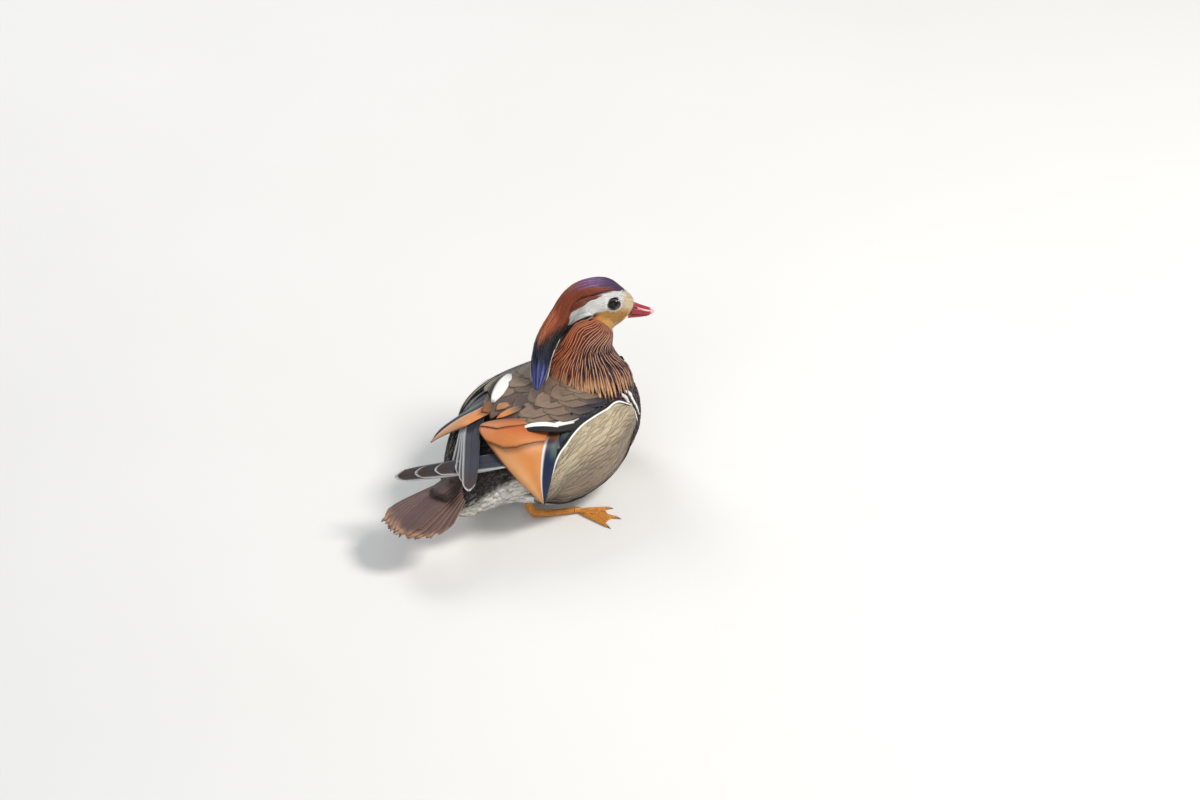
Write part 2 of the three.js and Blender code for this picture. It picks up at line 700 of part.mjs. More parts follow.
// Primaries: the wing tips cross over the rump, the left wing's above the right wing's
const PRIMARY_PATHS = {
  left: {
    count: 4,
    lean: [0, 0, 1],
    root: [-74, 24, 109],
    over: [-102, 1, 110.5],
    tip: [-157, -61, 87],
    step: [7.5, 14, 1],
  },
  right: {
    count: 4,
    lean: [-0.32, -0.5, 1],
    root: [-70, -54, 99],
    over: [-108, -39, 94],
    tip: [-200, 18, 84],
    step: [13.5, -8, -0.6],
  },
};

function primaries(side, grow = 0) {
  const { count, lean, root, over, tip, step } = side > 0 ? PRIMARY_PATHS.left : PRIMARY_PATHS.right;
  const up = point(...lean).normalize();
  const [base, bend, end] = [root, over, tip].map((p) => point(...p));
  const feathers = [];
  for (let k = 0; k < count; k++) { // from the longest, lowest one
    const shift = point(...step).multiplyScalar(k);
    const lift = up.clone().multiplyScalar(PRIMARY.step * k);
    const path = [
      base.clone().addScaledVector(lift, 0.8),
      bend.clone().addScaledVector(shift, 0.25).add(lift),
      bend.clone().lerp(end, 0.5).addScaledVector(shift, 0.6).add(lift),
      end.clone().add(shift).add(lift),
    ];
    feathers.push(vane({ path, up, width: PRIMARY.width, breadths: BLUNT_TIP, camber: 0.015, grow }));
  }
  // the hand that the feathers grow from, under the scapulars and the sail
  const back = bend.clone().sub(base).normalize();
  const row = (reach, wide, high) => {
    const p = base.clone().addScaledVector(back, reach);
    return [p.x, p.y, p.z, wide, high, high + 3];
  };
  const hand = loft([row(-8, 0, -3), row(-3, 8, 2.6), row(8, 8, 2.8), row(16, 0, -3)], { rings: 6, sides: 8, grow });
  return joined([hand, ...feathers]);
}

// Tail: a fleshy root and a fan of feathers bent to the right, with coverts over it
const TAIL_ROOT = point(-132, -21, 79);
const TAIL_BEND = 7; // degrees to the right of straight back
const TAIL_DROOP = 15; // degrees below level
const TAIL_SUNK = 8; // how far the feathers' roots lie before the root's middle

function tailFeather(degrees, length, width, height, lift, grow) {
  const heading = (180 + TAIL_BEND - degrees) * DEGREE;
  const backwards = point(Math.cos(heading), Math.sin(heading), -Math.tan(TAIL_DROOP * DEGREE));
  const at = (t, rise) => TAIL_ROOT.clone()
    .addScaledVector(backwards, t * length - TAIL_SUNK)
    .add(point(0, 0, height + rise));
  const path = [at(0, 0), at(0.35, lift * 0.6), at(0.7, lift), at(1, lift * 0.5)];
  return vane({ path, up: UP, width, breadths: BLUNT_TIP, camber: 0.015, grow });
}

function tailFan({ count, fan, length, width }, height, step, grow) {
  const feathers = [];
  for (let k = 0; k < count; k++) {
    const q = (k / (count - 1)) * 2 - 1; // from the bird's right to its left
    const shorter = length * (1 - (q < 0 ? 0.24 : 0.06) * q * q);
    const rank = Math.abs(q) * (count / 2) + (q > 0 ? 0.5 : 0);
    feathers.push(tailFeather((q * fan) / 2, shorter, width, height - step * rank, 2, grow));
  }
  return feathers;
}

function tail(grow = 0) {
  const core = loft(
    [
      [-124, -19, 78, 0, 0, 0],
      [-130, -20, 78, 20, 7, 8],
      [-144, -24, 75, 20, 6, 8],
      [-158, -27, 71, 16, 5, 6],
      [-170, -29, 67, 0, 0, 0],
    ],
    { rings: 8, sides: 12, grow },
  );
  return joined([
    core,
    ...tailFan(TAIL_FEATHERS, -1, 1.25, grow),
    ...tailFan(TAIL_COVERTS, 6.4, 1.3, grow),
  ]);
}

// Legs and feet: shank along the floor from the heel, webbed toes spread forward and outward
const LEG = {
  knee: [-38, 36, 34],
  shin: [-56, 42, 18],
  heel: [-56, 50, 6.5],
  shank: [-34, 63, 4.4],
  ankle: [-12, 74, 4.2],
};

function legRows(side) {
  const row = ([x, y, z], r) => [x, side * y, z, r, r, r];
  return [
    row([LEG.knee[0] + 6, LEG.knee[1], LEG.knee[2] + 4], 0),
    row(LEG.knee, 11),
    row(LEG.shin, 7),
    row(LEG.heel, 5.2),
    row(LEG.shank, 3.6),
    row(LEG.ankle, 3.8),
    row([LEG.ankle[0] + 4, LEG.ankle[1] + 3, LEG.ankle[2]], 0),
  ];
}

const leg = (side, grow = 0) => loft(legRows(side), { rings: 10, sides: 10, up: point(0.3, 0, 1), grow });

const TOES = [
  { angle: 28, length: TOE.inner },
  { angle: 54, length: TOE.middle },
  { angle: 80, length: TOE.outer },
];

function toe(side, angle, length, radius) {
  const heading = side * angle * DEGREE;
  const [x, y] = [LEG.ankle[0] + 1, side * (LEG.ankle[1] + 1)];
  const at = (t, z, r) => [x + Math.cos(heading) * length * t, y + Math.sin(heading) * length * t, z, r, r, r];
  return loft(
    [
      at(-0.08, 3, 0),
      at(0, 3, radius * 1.2),
      at(0.45, 2.5, radius),
      at(0.88, 1.9, radius * 0.8),
      at(0.97, 1.6, radius * 0.4),
      at(1.06, 0.9, 0),
    ],
    { rings: 6, sides: 6 },
  );
}

// The web between the toes, scalloped at its front edge.
function web(side) {
  const [x, y] = [LEG.ankle[0] + 1, LEG.ankle[1] + 1];
  const tipAt = ({ angle, length }, share) => new THREE.Vector2(
    x + Math.cos(angle * DEGREE) * length * share,
    side * (y + Math.sin(angle * DEGREE) * length * share),
  );
  const outline = new THREE.Shape([new THREE.Vector2(x - 2, side * (y - 1)), tipAt(TOES[0], 0.86)]);
  for (let k = 0; k < TOES.length - 1; k++) {
    const middle = { angle: (TOES[k].angle + TOES[k + 1].angle) / 2, length: TOES[k].length };
    const dip = tipAt(middle, 0.74);
    const end = tipAt(TOES[k + 1], 0.86);
    outline.quadraticCurveTo(dip.x, dip.y, end.x, end.y);
  }
  const sheet = new THREE.ExtrudeGeometry(outline, { depth: 1.3, bevelEnabled: false, curveSegments: 3 });
  sheet.translate(0, 0, 0.5);
  return solidOfGeometry(sheet);
}

function hindToe(side) {
  const [x, y] = [LEG.ankle[0], side * LEG.ankle[1]];
  return loft(
    [
      [x + 1, y, 4, 0, 0, 0],
      [x - 3, y - side * 2, 3.4, 1.7, 1.7, 1.7],
      [x - 8, y - side * 6, 2.2, 1.3, 1.3, 1.3],
      [x - 12, y - side * 9, 1, 0, 0, 0],
    ],
    { rings: 4, sides: 6 },
  );
}

const ankleCut = (side) => {
  const normal = point(0.86, side * 0.5, 0).normalize();
  const offset = normal.dot(point(LEG.ankle[0] - 4, side * (LEG.ankle[1] - 2.4), 4));
  return { normal, offset };
};

function legAndFoot(side) {
  const toes = TOES.map(({ angle, length }) => toe(side, angle, length, TOE.radius));
  const whole = aboveFloor(joined([leg(side), web(side), hindToe(side), ...toes]).subtract(grownFlesh));
  const { normal, offset } = ankleCut(side);
  return {
    leg: largest(before(whole, normal, offset)),
    foot: largest(beyond(whole, normal, offset)),
  };
}

// Fit each layer round what it lies on
const nodes = new THREE.Group();

function addNode(name, solid, colour, roughness = 0.7) {
  const kept = largest(solid);
  const { vertProperties, triVerts, numProp, numVert } = kept.getMesh();
  const place = new Float32Array(numVert * 3);
  for (let i = 0; i < numVert; i++) place.set(vertProperties.subarray(i * numProp, i * numProp + 3), i * 3);
  const geometry = new THREE.BufferGeometry();
  geometry.setAttribute("position", new THREE.BufferAttribute(place, 3));
  geometry.setIndex(new THREE.BufferAttribute(new Uint32Array(triVerts), 1));
  const mesh = new THREE.Mesh(geometry, new THREE.MeshStandardMaterial({ color: colour, roughness }));
  mesh.name = name;
  nodes.add(mesh);
}

addNode("torso", torsoSolid, 0x6b4a52);
addNode("neck", neckSolid, 0x7a3420);
addNode("head", headSolid, 0xd9c7a6);
addNode("bill_upper", billUpperSolid, 0xb3263c, 0.4);
addNode("bill_lower", billLowerSolid, 0xa0243a, 0.4);
addNode("crest", crestSolid, 0x7c3418, 0.45);

const SIDES = [["left", 1], ["right", -1]];
const flankGrown = joined(SIDES.map(([, side]) => flank(side, GAP)));
const wingGrown = joined(SIDES.map(([, side]) => wing(side, GAP)));
const ruffGrown = joined(SIDES.map(([, side]) => ruff(side, GAP)));
const primariesGrown = new Map(SIDES.map(([, side]) => [side, primaries(side, GAP)]));
const bothPrimariesGrown = joined([...primariesGrown.values()]);

for (const [name, side] of SIDES) {
  addNode(`eye_${name}`, eyeball(side), 0x120c0a, 0.1);
  addNode(`ruff_${name}`, ruffSolids.get(side), 0xc4552a);
  addNode(`flank_${name}`, flank(side).subtract(grownFlesh), 0xb9a27c);
  // where the two sides cross over the back, the left wing lies on top and the right sail is whole
  const wingAlone = side > 0 ? wing(side) : wing(side).subtract(wing(1, GAP));
  addNode(
    `wing_${name}`,
    wingAlone.subtract(grownFlesh).subtract(flankGrown).subtract(ruffGrown).subtract(crestGrown),
    0x6d5a4b,
  );
  const sailAlone = side > 0 ? sail(side).subtract(sail(-1, GAP)) : sail(side);
  addNode(
    `sail_${name}`,
    sailAlone.subtract(grownFlesh).subtract(flankGrown).subtract(wingGrown).subtract(bothPrimariesGrown),
    0xe08a3c,
  );
  const under = side > 0 ? grownFlesh : grownFlesh.add(primariesGrown.get(1));
  addNode(
    `primaries_${name}`,
    primaries(side).subtract(under).subtract(wingGrown).subtract(flankGrown),
    0x4d4346,
  );
  const { leg: shank, foot } = legAndFoot(side);
  addNode(`leg_${name}`, shank.subtract(flankGrown), 0xd98a2b);
  addNode(`foot_${name}`, foot.subtract(flankGrown), 0xd98a2b);
}
addNode(
  "tail",
  tail().subtract(grownFlesh).subtract(primariesGrown.get(1)).subtract(primariesGrown.get(-1)),
  0x7d6158,
);

export default nodes;
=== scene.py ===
# A mandarin drake at life size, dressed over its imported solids: skin, plumage, bill, eyes and feet.
# Forms are worked out in millimetres in the bird's frame (+X to the breast, +Y to its left, +Z up),
# and made in metres.
import math
from itertools import product

import bpy
import numpy as np
from mathutils import Matrix, Vector
from mathutils.bvhtree import BVHTree


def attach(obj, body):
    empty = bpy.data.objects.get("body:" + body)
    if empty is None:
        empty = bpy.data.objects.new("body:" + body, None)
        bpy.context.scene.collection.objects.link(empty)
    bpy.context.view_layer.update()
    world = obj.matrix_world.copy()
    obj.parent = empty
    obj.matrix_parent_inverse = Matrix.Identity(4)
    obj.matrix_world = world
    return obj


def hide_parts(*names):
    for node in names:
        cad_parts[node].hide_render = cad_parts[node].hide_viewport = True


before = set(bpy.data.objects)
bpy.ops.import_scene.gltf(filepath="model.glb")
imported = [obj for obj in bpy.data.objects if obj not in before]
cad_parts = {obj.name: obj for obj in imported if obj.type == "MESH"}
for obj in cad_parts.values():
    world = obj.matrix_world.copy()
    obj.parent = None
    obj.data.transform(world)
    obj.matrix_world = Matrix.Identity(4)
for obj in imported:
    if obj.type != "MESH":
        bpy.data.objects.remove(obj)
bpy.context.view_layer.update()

MM = 0.001
DEGREE = math.pi / 180
AHEAD = np.array([1.0, 0, 0])
UPWARD = np.array([0, 0, 1.0])
SIDES = {"left": 1, "right": -1}
rng = np.random.default_rng(11)

# Driving dimensions, the same as the solids'
BODY_SQUARE = 2.3  # how full the body's section is: 2 is an ellipse
HEAD_CENTRE = (97, -5, 209)
HEAD_TURN = -39
HEAD_DIP = 6
EYE_PLACE = (-1, 12.8, 1.5)
EYE_RADIUS = 7.2
EYE_OPENING = 5.95

# Rows of a loft: centre x, y, z, half width, reach up, reach down
TORSO_ROWS = np.array([
    [121, 0, 86, 0, 0, 0],
    [116, 0, 84, 22, 21, 23],
    [101, 0, 80, 44, 37, 42],
    [78, 0, 74, 62, 47, 56],
    [45, 0, 68, 75, 54, 64],
    [10, 0, 65, 80, 57, 67.5],
    [-25, 0, 64, 81, 56, 67],
    [-58, -2, 63, 74, 52, 57],
    [-88, -9, 62, 58, 43, 43],
    [-112, -17, 60, 43, 34, 34],
    [-131, -24, 58, 34, 25, 28],
    [-148, -30, 55, 25, 16, 21],
    [-160, -33, 53, 14, 9, 12],
    [-167, -35, 52, 0, 0, 0],
])
NECK_ROWS = np.array([
    [54, 0, 60, 0, 0, 0],
    [56, 0, 84, 52, 50, 50],
    [60, 0, 104, 55, 54, 53],
    [62, 0, 118, 50, 52, 50],
    [63, 2, 131, 41, 45, 41],
    [65, 4, 145, 32, 36, 32],
    [68, 6.5, 160, 26, 28.5, 25],
    [75, 7, 176, 23.5, 26, 24],
    [84, 5, 190, 20, 23, 20],
    [92, 1, 200, 0, 0, 0],
])
# Degrees from the back's ridge at even steps from the flank's front to its rear
FLANK_UPPER = [64, 46, 45, 45, 47, 54, 67, 104]
FLANK_LOWER = [92, 118, 127, 131, 131, 128, 123, 112]
FLANK_FRONT = 80
FLANK_REAR = {"left": -82, "right": -68}


# Numbers along rows and curves

def along(rows, s):
    """Smooth rows at shares s, from 0 at the first to 1 at the last."""
    rows = np.asarray(rows, float)
    s = np.asarray(s, float)
    last = len(rows) - 1
    span = np.clip(s, 0, 1) * last
    i = np.minimum(span.astype(int), last - 1)
    t = (span - i).reshape(s.shape + (1,) * (rows.ndim - 1))
    start, end = rows[i], rows[i + 1]
    before, after = rows[np.maximum(i - 1, 0)], rows[np.minimum(i + 2, last)]
    leave, arrive = (end - before) / 2, (after - start) / 2
    a = 2 * start - 2 * end + leave + arrive
    b = 3 * end - 3 * start - 2 * leave - arrive
    return start + t * (leave + t * (b + t * a))


def unit(v):
    return v / np.maximum(np.linalg.norm(v, axis=-1, keepdims=True), 1e-9)


def dot(a, b):
    return (a * b).sum(-1, keepdims=True)


def mix(a, b, t):
    return a + (b - a) * t


def step(low, high, value):
    """A smooth step from 0 at low to 1 at high."""
    t = np.clip((np.asarray(value, float) - low) / (high - low), 0, 1)
    return t * t * (3 - 2 * t)


def power(value, exponent):
    return np.sign(value) * np.abs(value) ** exponent


def run_of(curve, s, nudge=0.02):
    """Which way a curve runs at s, from the places just before and after it."""
    return curve(s + nudge) - curve(s - nudge)


def curves(controls, stations):
    """Smooth curves through n lists of k control points, as an array n, stations, 3."""
    rows = np.moveaxis(np.asarray(controls, float), 1, 0)
    return np.moveaxis(along(rows, np.linspace(0, 1, stations)), 0, 1)


def even_grid(rows, columns, down=(0, 1), across=(0, 1)):
    """Even values down the rows and across the columns of a grid."""
    return np.meshgrid(np.linspace(*down, rows), np.linspace(*across, columns), indexing="ij")


# Places on the bird

SHARES = np.linspace(0, 1, 400)
TORSO_X = along(TORSO_ROWS, SHARES)[:, 0]
NECK_Z = along(NECK_ROWS, SHARES)[:, 2]


def torso_ring(x):
    return along(TORSO_ROWS, np.interp(-np.asarray(x, float), -TORSO_X, SHARES))


def body_point(x, degrees, lift=0.0):
    """Over the torso at x, at an angle from the back's ridge towards the left, lifted off it."""
    x, degrees, lift = np.broadcast_arrays(np.asarray(x, float), degrees, lift)
    ring = torso_ring(x)

    def at(angle):
        out = power(np.sin(angle), 2 / BODY_SQUARE) * ring[..., 3]
        rise = power(np.cos(angle), 2 / BODY_SQUARE)
        high = rise * np.where(rise > 0, ring[..., 4], ring[..., 5])
        return np.stack([x, ring[..., 1] + out, ring[..., 2] + high], -1)

    angle = degrees * DEGREE
    outward = unit(np.cross(AHEAD, run_of(at, angle)))
    return at(angle) + outward * lift[..., None]


def body_place(points):
    """x and the angle from the back's ridge of points near the torso."""
    least = 4  # keeps the shares of width and height finite at the torso's ends
    ring = torso_ring(points[..., 0])
    out = (points[..., 1] - ring[..., 1]) / np.maximum(ring[..., 3], least)
    rise = points[..., 2] - ring[..., 2]
    rise = rise / np.maximum(np.where(rise > 0, ring[..., 4], ring[..., 5]), least)
    angle = np.arctan2(power(out, BODY_SQUARE / 2), power(rise, BODY_SQUARE / 2)) / DEGREE
    return points[..., 0], angle


def neck_point(height, degrees, lift=0.0):
    """On the neck at a height of its axis, at an angle from straight ahead towards the left."""
    height, degrees, lift = np.broadcast_arrays(np.asarray(height, float), degrees, lift)
    share = np.interp(height, NECK_Z, SHARES)
    ring = along(NECK_ROWS, share)
    forward = unit(run_of(lambda s: along(NECK_ROWS, s)[..., :3], share, 0.01))
    side = unit(np.cross(-AHEAD, forward))
    upright = np.cross(forward, side)
    angle = (180 - degrees) * DEGREE
    rise = np.cos(angle)
    out = np.sin(angle) * (ring[..., 3] + lift)
    reach = np.where(rise > 0, ring[..., 4], ring[..., 5]) + lift
    return ring[..., :3] + side * out[..., None] + upright * (rise * reach)[..., None]


turn, dip = HEAD_TURN * DEGREE, HEAD_DIP * DEGREE
HEAD_AXES = np.array(Matrix.Rotation(turn, 3, "Z") @ Matrix.Rotation(dip, 3, "Y"))


def head_point(x, y, z):
    """From the head's own frame, x to the bill, y left and z up from between the eyes."""
    place = np.stack(np.broadcast_arrays(*np.asarray([x, y, z], float)), -1)
    return place @ HEAD_AXES.T + HEAD_CENTRE


def in_head(points):
    """x, y and z of points in the head's own frame."""
    return np.moveaxis((points - HEAD_CENTRE) @ HEAD_AXES, -1, 0)


def from_eye(x, z):
    return np.hypot(x - EYE_PLACE[0], z - EYE_PLACE[2])


# Colours, given as they look and kept as light

def paint(red, green, blue):
    return (np.array([red, green, blue]) / 255) ** 2.2


MAROON = paint(58, 26, 34)
PLUM = paint(72, 40, 62)
WHITE = paint(236, 234, 230)
CREAM = paint(226, 208, 176)
OCHRE = paint(206, 152, 78)
RUST = paint(178, 80, 42)
COPPER = paint(146, 68, 38)
PEACH = paint(238, 178, 128)
VIOLET = paint(92, 58, 112)
LILAC = paint(150, 106, 156)
NAVY = paint(20, 26, 48)
LAVENDER = paint(112, 122, 214)
GREEN_BLACK = paint(14, 26, 26)
BLACK = paint(18, 16, 18)
UMBER = paint(52, 38, 32)
OLIVE = paint(122, 101, 86)
TAUPE = paint(146, 127, 106)
BUFF = paint(194, 178, 148)
SLATE = paint(52, 52, 64)
DEEP_BLUE = paint(24, 36, 66)
TEAL = paint(70, 92, 84)
ORANGE = paint(204, 130, 72)
APRICOT = paint(232, 176, 122)
DUSK = paint(104, 78, 74)
TAN = paint(196, 150, 118)
VENT = paint(206, 200, 190)


def tinted(base, *layers):
    """Colours laid one over another, each layer a colour and its cover from 0 to 1."""
    shape = np.broadcast_shapes(np.shape(base)[:-1], *[np.shape(cover) for _, cover in layers])
    colour = np.broadcast_to(base, shape + (3,)).astype(float)
    for over, cover in layers:
        colour = mix(colour, over, np.asarray(cover, float)[..., None])
    return colour


# The head's brow: x and the height of its upper and lower edge in the head's frame
BROW_X = [-56, -44, -34, -22, -16, -8, 0, 6, 12]
BROW_TOP = [-36, -12, 0, 9, 12, 14, 15, 14, 10]
BROW_FOOT = [-40, -32, -23, -12.5, -10, -6.5, -6.5, 1, 8]


def head_colour(points):
    x, y, z = in_head(points)
    top = np.interp(x, BROW_X, BROW_TOP)
    foot = np.interp(x, BROW_X, BROW_FOOT)
    brow = step(-1.2, 1.2, z - foot) * step(-1.2, 1.2, top - z)
    stripe = step(-1.2, 1.2, foot - z) * step(4.5, 2.5, foot - z) * step(-14, -22, x)
    crown = step(-1, 1.4, z - top) * (1 - step(3, 8, x))
    return tinted(
        OCHRE,
        (CREAM, step(2, 12, x) * step(-13, -2, z) * 0.9),
        (RUST, step(-10, -22, x) * step(-10, -18, z)),
        (CREAM, step(-20, -28, z) * step(-4, 4, x) * 0.3),
        (WHITE, brow),
        (CREAM, brow * step(3, 14, x) * 0.6),
        (WHITE, step(11.0, 8.8, from_eye(x, z)) * (np.abs(y) > 8) * 0.85),
        (GREEN_BLACK, stripe),
        (VIOLET * 0.4, crown),
    )


def body_colour(points):
    x, angle = body_place(points)
    off = np.abs(angle)
    breast = step(40, 62, x + 0.15 * (off - 90))
    belly = step(108, 122, off) * step(92, 70, x) * step(-150, -120, x)
    vent = step(-66, -80, x) * step(73, 83, off)
    rump = step(-58, -74, x) * step(84, 70, off)
    thigh = step(-50, -66, x) * step(66, 80, off) * step(104, 92, off)
    return tinted(
        OLIVE * 0.6,
        (UMBER, thigh),
        (UMBER * 0.45, rump),
        (MAROON, breast),
        (PLUM, breast * step(80, 40, off) * 0.5),
        (WHITE, belly),
        (VENT, vent),
    )


def neck_colour(points):
    x, y, height = np.moveaxis(points, -1, 0)
    front = step(80, 45, np.abs(np.arctan2(y, x - 70) / DEGREE))
    return tinted(COPPER * 0.45, (MAROON * 0.9, front), (MAROON, step(150, 122, height)))


def plumage_colour(points):
    """The markings of the whole bird at a place, the same for skin and coat."""
    x, _, z = in_head(points)
    head = step(-36, -33, z) * step(-46, -40, x)
    neck = step(116, 124, points[..., 2]) * step(20, 34, points[..., 0])
    return tinted(body_colour(points), (neck_colour(points), neck), (head_colour(points), head))


# Materials

class Finish:
    """A material's nodes, added one by one, each input a number or another node's output."""

    def __init__(self, name, roughness, **shader):
        self.material = bpy.data.materials.new(name)
        self.material.use_nodes = True
        self.tree = self.material.node_tree
        self.shader = self.tree.nodes["Principled BSDF"]
        self.shader.inputs["Roughness"].default_value = roughness
        for socket, value in shader.items():
            self.shader.inputs[socket.replace("_", " ")].default_value = value

    def add(self, kind, inputs=None, output=0, **settings):
        node = self.tree.nodes.new(kind)
        for key, value in settings.items():
            setattr(node, key, value)
        for key, value in (inputs or {}).items():
            if isinstance(value, bpy.types.NodeSocket):
                self.tree.links.new(value, node.inputs[key])
            else:
                node.inputs[key].default_value = value
        return node.outputs[output]

    def calc(self, operation, *values):
        return self.add("ShaderNodeMath", dict(enumerate(values)), operation=operation)

    def blend(self, cover, base, over, kind="MIX"):
        colour_sockets = {0: cover, 6: base, 7: over}
        return self.add("ShaderNodeMix", colour_sockets, 2, data_type="RGBA", blend_type=kind)

    def attribute(self, name, output="Color"):
        return self.add("ShaderNodeAttribute", output=output, attribute_name=name)

    def ramp(self, value, low, high):
        bounds = {0: value, 1: low, 2: high}
        return self.add("ShaderNodeMapRange", bounds, interpolation_type="SMOOTHSTEP")

    def place(self):
        return self.add("ShaderNodeTexCoord", output="Object")

    def noise(self, scale, detail=3.0):
        return self.add("ShaderNodeTexNoise", {"Vector": self.place(), "Scale": scale, "Detail": detail})

    def feather(self):
        """From a feather's own map: off its shaft to 1 at the edge, and down it to 1 at the tip."""
        uv = self.add("ShaderNodeUVMap", uv_map="feather")
        across, down = (self.add("ShaderNodeSeparateXYZ", {0: uv}, axis) for axis in "XY")
        return self.calc("ABSOLUTE", self.calc("MULTIPLY_ADD", across, 2.0, -1.0)), down

    def finish(self, colour, height=None, depth=0.0001, strength=0.6):
        self.tree.links.new(colour, self.shader.inputs["Base Color"])
        if height is not None:
            bump = {"Height": height, "Distance": depth, "Strength": strength}
            self.tree.links.new(self.add("ShaderNodeBump", bump), self.shader.inputs["Normal"])
        return self.material


def colour4(colour):
    return (*[float(c) for c in colour], 1.0)


def tint(red, green, blue):
    return colour4(paint(red, green, blue))


FEATHER_GLOSS = {"Sheen_Weight": 0.25, "Sheen_Roughness": 0.4, "Specular_IOR_Level": 0.35}
TONE_RANGE = 0.16  # how much lighter or darker than painted one feather may be


def plumage(name, *, roughness=0.55, barbs=30, barb_shade=0.25, slant=0.35, shaft=None,
            shaft_width=0.07, rim=None, rim_width=0.12, bars=0, bar_shade=0.3, streak=0.2, **shader):
    """Feathers painted by their own attribute, with barbs, and a shaft, rim and fine bars where asked."""
    make = Finish(name, roughness, **{**FEATHER_GLOSS, **shader})
    off, down = make.feather()
    phase = make.calc("SUBTRACT", down, make.calc("MULTIPLY", off, slant))
    wobble = make.calc("MULTIPLY", make.noise(160.0), 5.0)
    turns = make.calc("MULTIPLY_ADD", phase, 2 * math.pi * barbs, wobble)
    barb = make.calc("MULTIPLY_ADD", make.calc("SINE", turns), 0.5, 0.5)
    shade = make.calc("MULTIPLY_ADD", barb, barb_shade, 1 - barb_shade / 2)
    patch = make.calc("MULTIPLY_ADD", make.noise(90.0, 4.0), streak * 2, 1 - streak)
    tone = make.calc("MULTIPLY_ADD", make.attribute("tone", "Fac"), TONE_RANGE, 1.0)
    value = make.calc("MULTIPLY", make.calc("MULTIPLY", shade, patch), tone)
    colour = make.add("ShaderNodeHueSaturation", {"Value": value, "Color": make.attribute("plumage")})
    if bars:
        even = make.calc("MULTIPLY", down, 2 * math.pi * bars)
        waver = make.calc("MULTIPLY_ADD", make.noise(260.0), 9.0, even)
        bar = make.calc("SINE", make.calc("SUBTRACT", waver, make.calc("MULTIPLY", off, 2.2)))
        cover = make.calc("MULTIPLY", make.ramp(bar, 0.1, 0.9), bar_shade)
        colour = make.blend(cover, colour, colour4(UMBER))
    if rim is not None:
        end = make.calc("MAXIMUM", off, make.calc("MULTIPLY_ADD", make.noise(300.0), 0.1, down))
        edge = make.ramp(end, 1 - rim_width, 1 - rim_width * 0.35)
        colour = make.blend(make.calc("MULTIPLY", edge, 0.85), colour, colour4(rim))
    if shaft is not None:
        rib = make.ramp(off, shaft_width, shaft_width * 0.4)
        colour = make.blend(make.calc("MULTIPLY", rib, 0.8), colour, colour4(shaft))
    return make.finish(colour, barb, depth=0.00012, strength=0.5)


def soft_skin():
    make = Finish("skin", 0.7, Sheen_Weight=0.2)
    grain = make.noise(900.0, 4.0)
    cover = make.calc("MULTIPLY", grain, 0.35)
    colour = make.blend(cover, make.attribute("plumage"), colour4(UMBER), "MULTIPLY")
    return make.finish(colour, grain, depth=0.0002, strength=0.5)


def bill_horn():
    make = Finish("bill", 0.3, Coat_Weight=0.35, Coat_Roughness=0.25, Subsurface_Weight=0.08)
    colour = make.blend(make.noise(60.0, 5.0), tint(126, 14, 34), tint(168, 34, 54))
    grain = make.noise(700.0, 4.0)
    colour = make.blend(make.calc("MULTIPLY", grain, 0.25), colour, tint(202, 88, 104))
    colour = make.blend(make.attribute("nail", "Fac"), colour, tint(232, 176, 166))
    return make.finish(colour, grain, depth=0.00012, strength=0.4)


def eye_glass():
    make = Finish("eye", 0.04, Coat_Weight=0.25, Coat_Roughness=0.02, Specular_IOR_Level=0.3)
    off = make.attribute("axis", "Fac")
    iris = make.blend(make.noise(1500.0), tint(20, 11, 9), tint(34, 19, 13))
    colour = make.blend(make.ramp(off, 0.5, 0.56), tint(4, 4, 5), iris)
    return make.finish(make.blend(make.ramp(off, 0.8, 0.9), colour, tint(16, 10, 9)))


def lid_skin():
    make = Finish("eyelid", 0.5)
    creases = make.noise(1400.0, 4.0)
    colour = make.blend(creases, tint(108, 96, 90), tint(58, 48, 46))
    return make.finish(colour, creases, depth=0.0002, strength=0.7)


def leg_scales():
    make = Finish("leg_scales", 0.42, Coat_Weight=0.15, Coat_Roughness=0.3)
    cell = {"Vector": make.place(), "Scale": 620.0}
    edge = make.add("ShaderNodeTexVoronoi", cell, feature="DISTANCE_TO_EDGE")
    scute = make.ramp(edge, 0.0, 0.16)
    colour = make.blend(make.noise(70.0), tint(214, 128, 36), tint(240, 170, 72))
    colour = make.blend(make.calc("SUBTRACT", 1.0, scute), colour, tint(140, 76, 22))
    return make.finish(colour, scute, depth=0.0003)


def claw_horn():
    make = Finish("claw", 0.3, Coat_Weight=0.3)
    colour = make.blend(make.noise(400.0), tint(44, 34, 28), tint(92, 72, 54))
    return make.finish(colour, make.noise(900.0), strength=0.3)


def studio_paper():
    make = Finish("studio_floor", 0.85)
    colour = make.blend(make.noise(3.0), tint(226, 225, 222), tint(232, 231, 229))
    return make.finish(colour, make.noise(400.0), depth=0.0002, strength=0.1)


# Meshes

def made(name, points, faces, material, replaces=()):
    """A finished piece from points in millimetres."""
    mesh = bpy.data.meshes.new(name)
    mesh.from_pydata((np.asarray(points).reshape(-1, 3) * MM).tolist(), [], faces)
    mesh.shade_smooth()
    piece = bpy.data.objects.new(name, mesh)
    bpy.context.scene.collection.objects.link(piece)
    return settle(piece, material, replaces)


def settle(piece, material, replaces=()):
    piece.data.materials.clear()
    piece.data.materials.append(material)
    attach(piece, "root")
    if replaces:
        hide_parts(*replaces)
    return piece


def set_uv(mesh, name, per_point):
    layer = mesh.uv_layers.new(name=name)
    corner = np.empty(len(mesh.loops), np.int32)
    mesh.loops.foreach_get("vertex_index", corner)
    layer.data.foreach_set("uv", per_point.reshape(-1, 2)[corner].astype(np.float32).ravel())


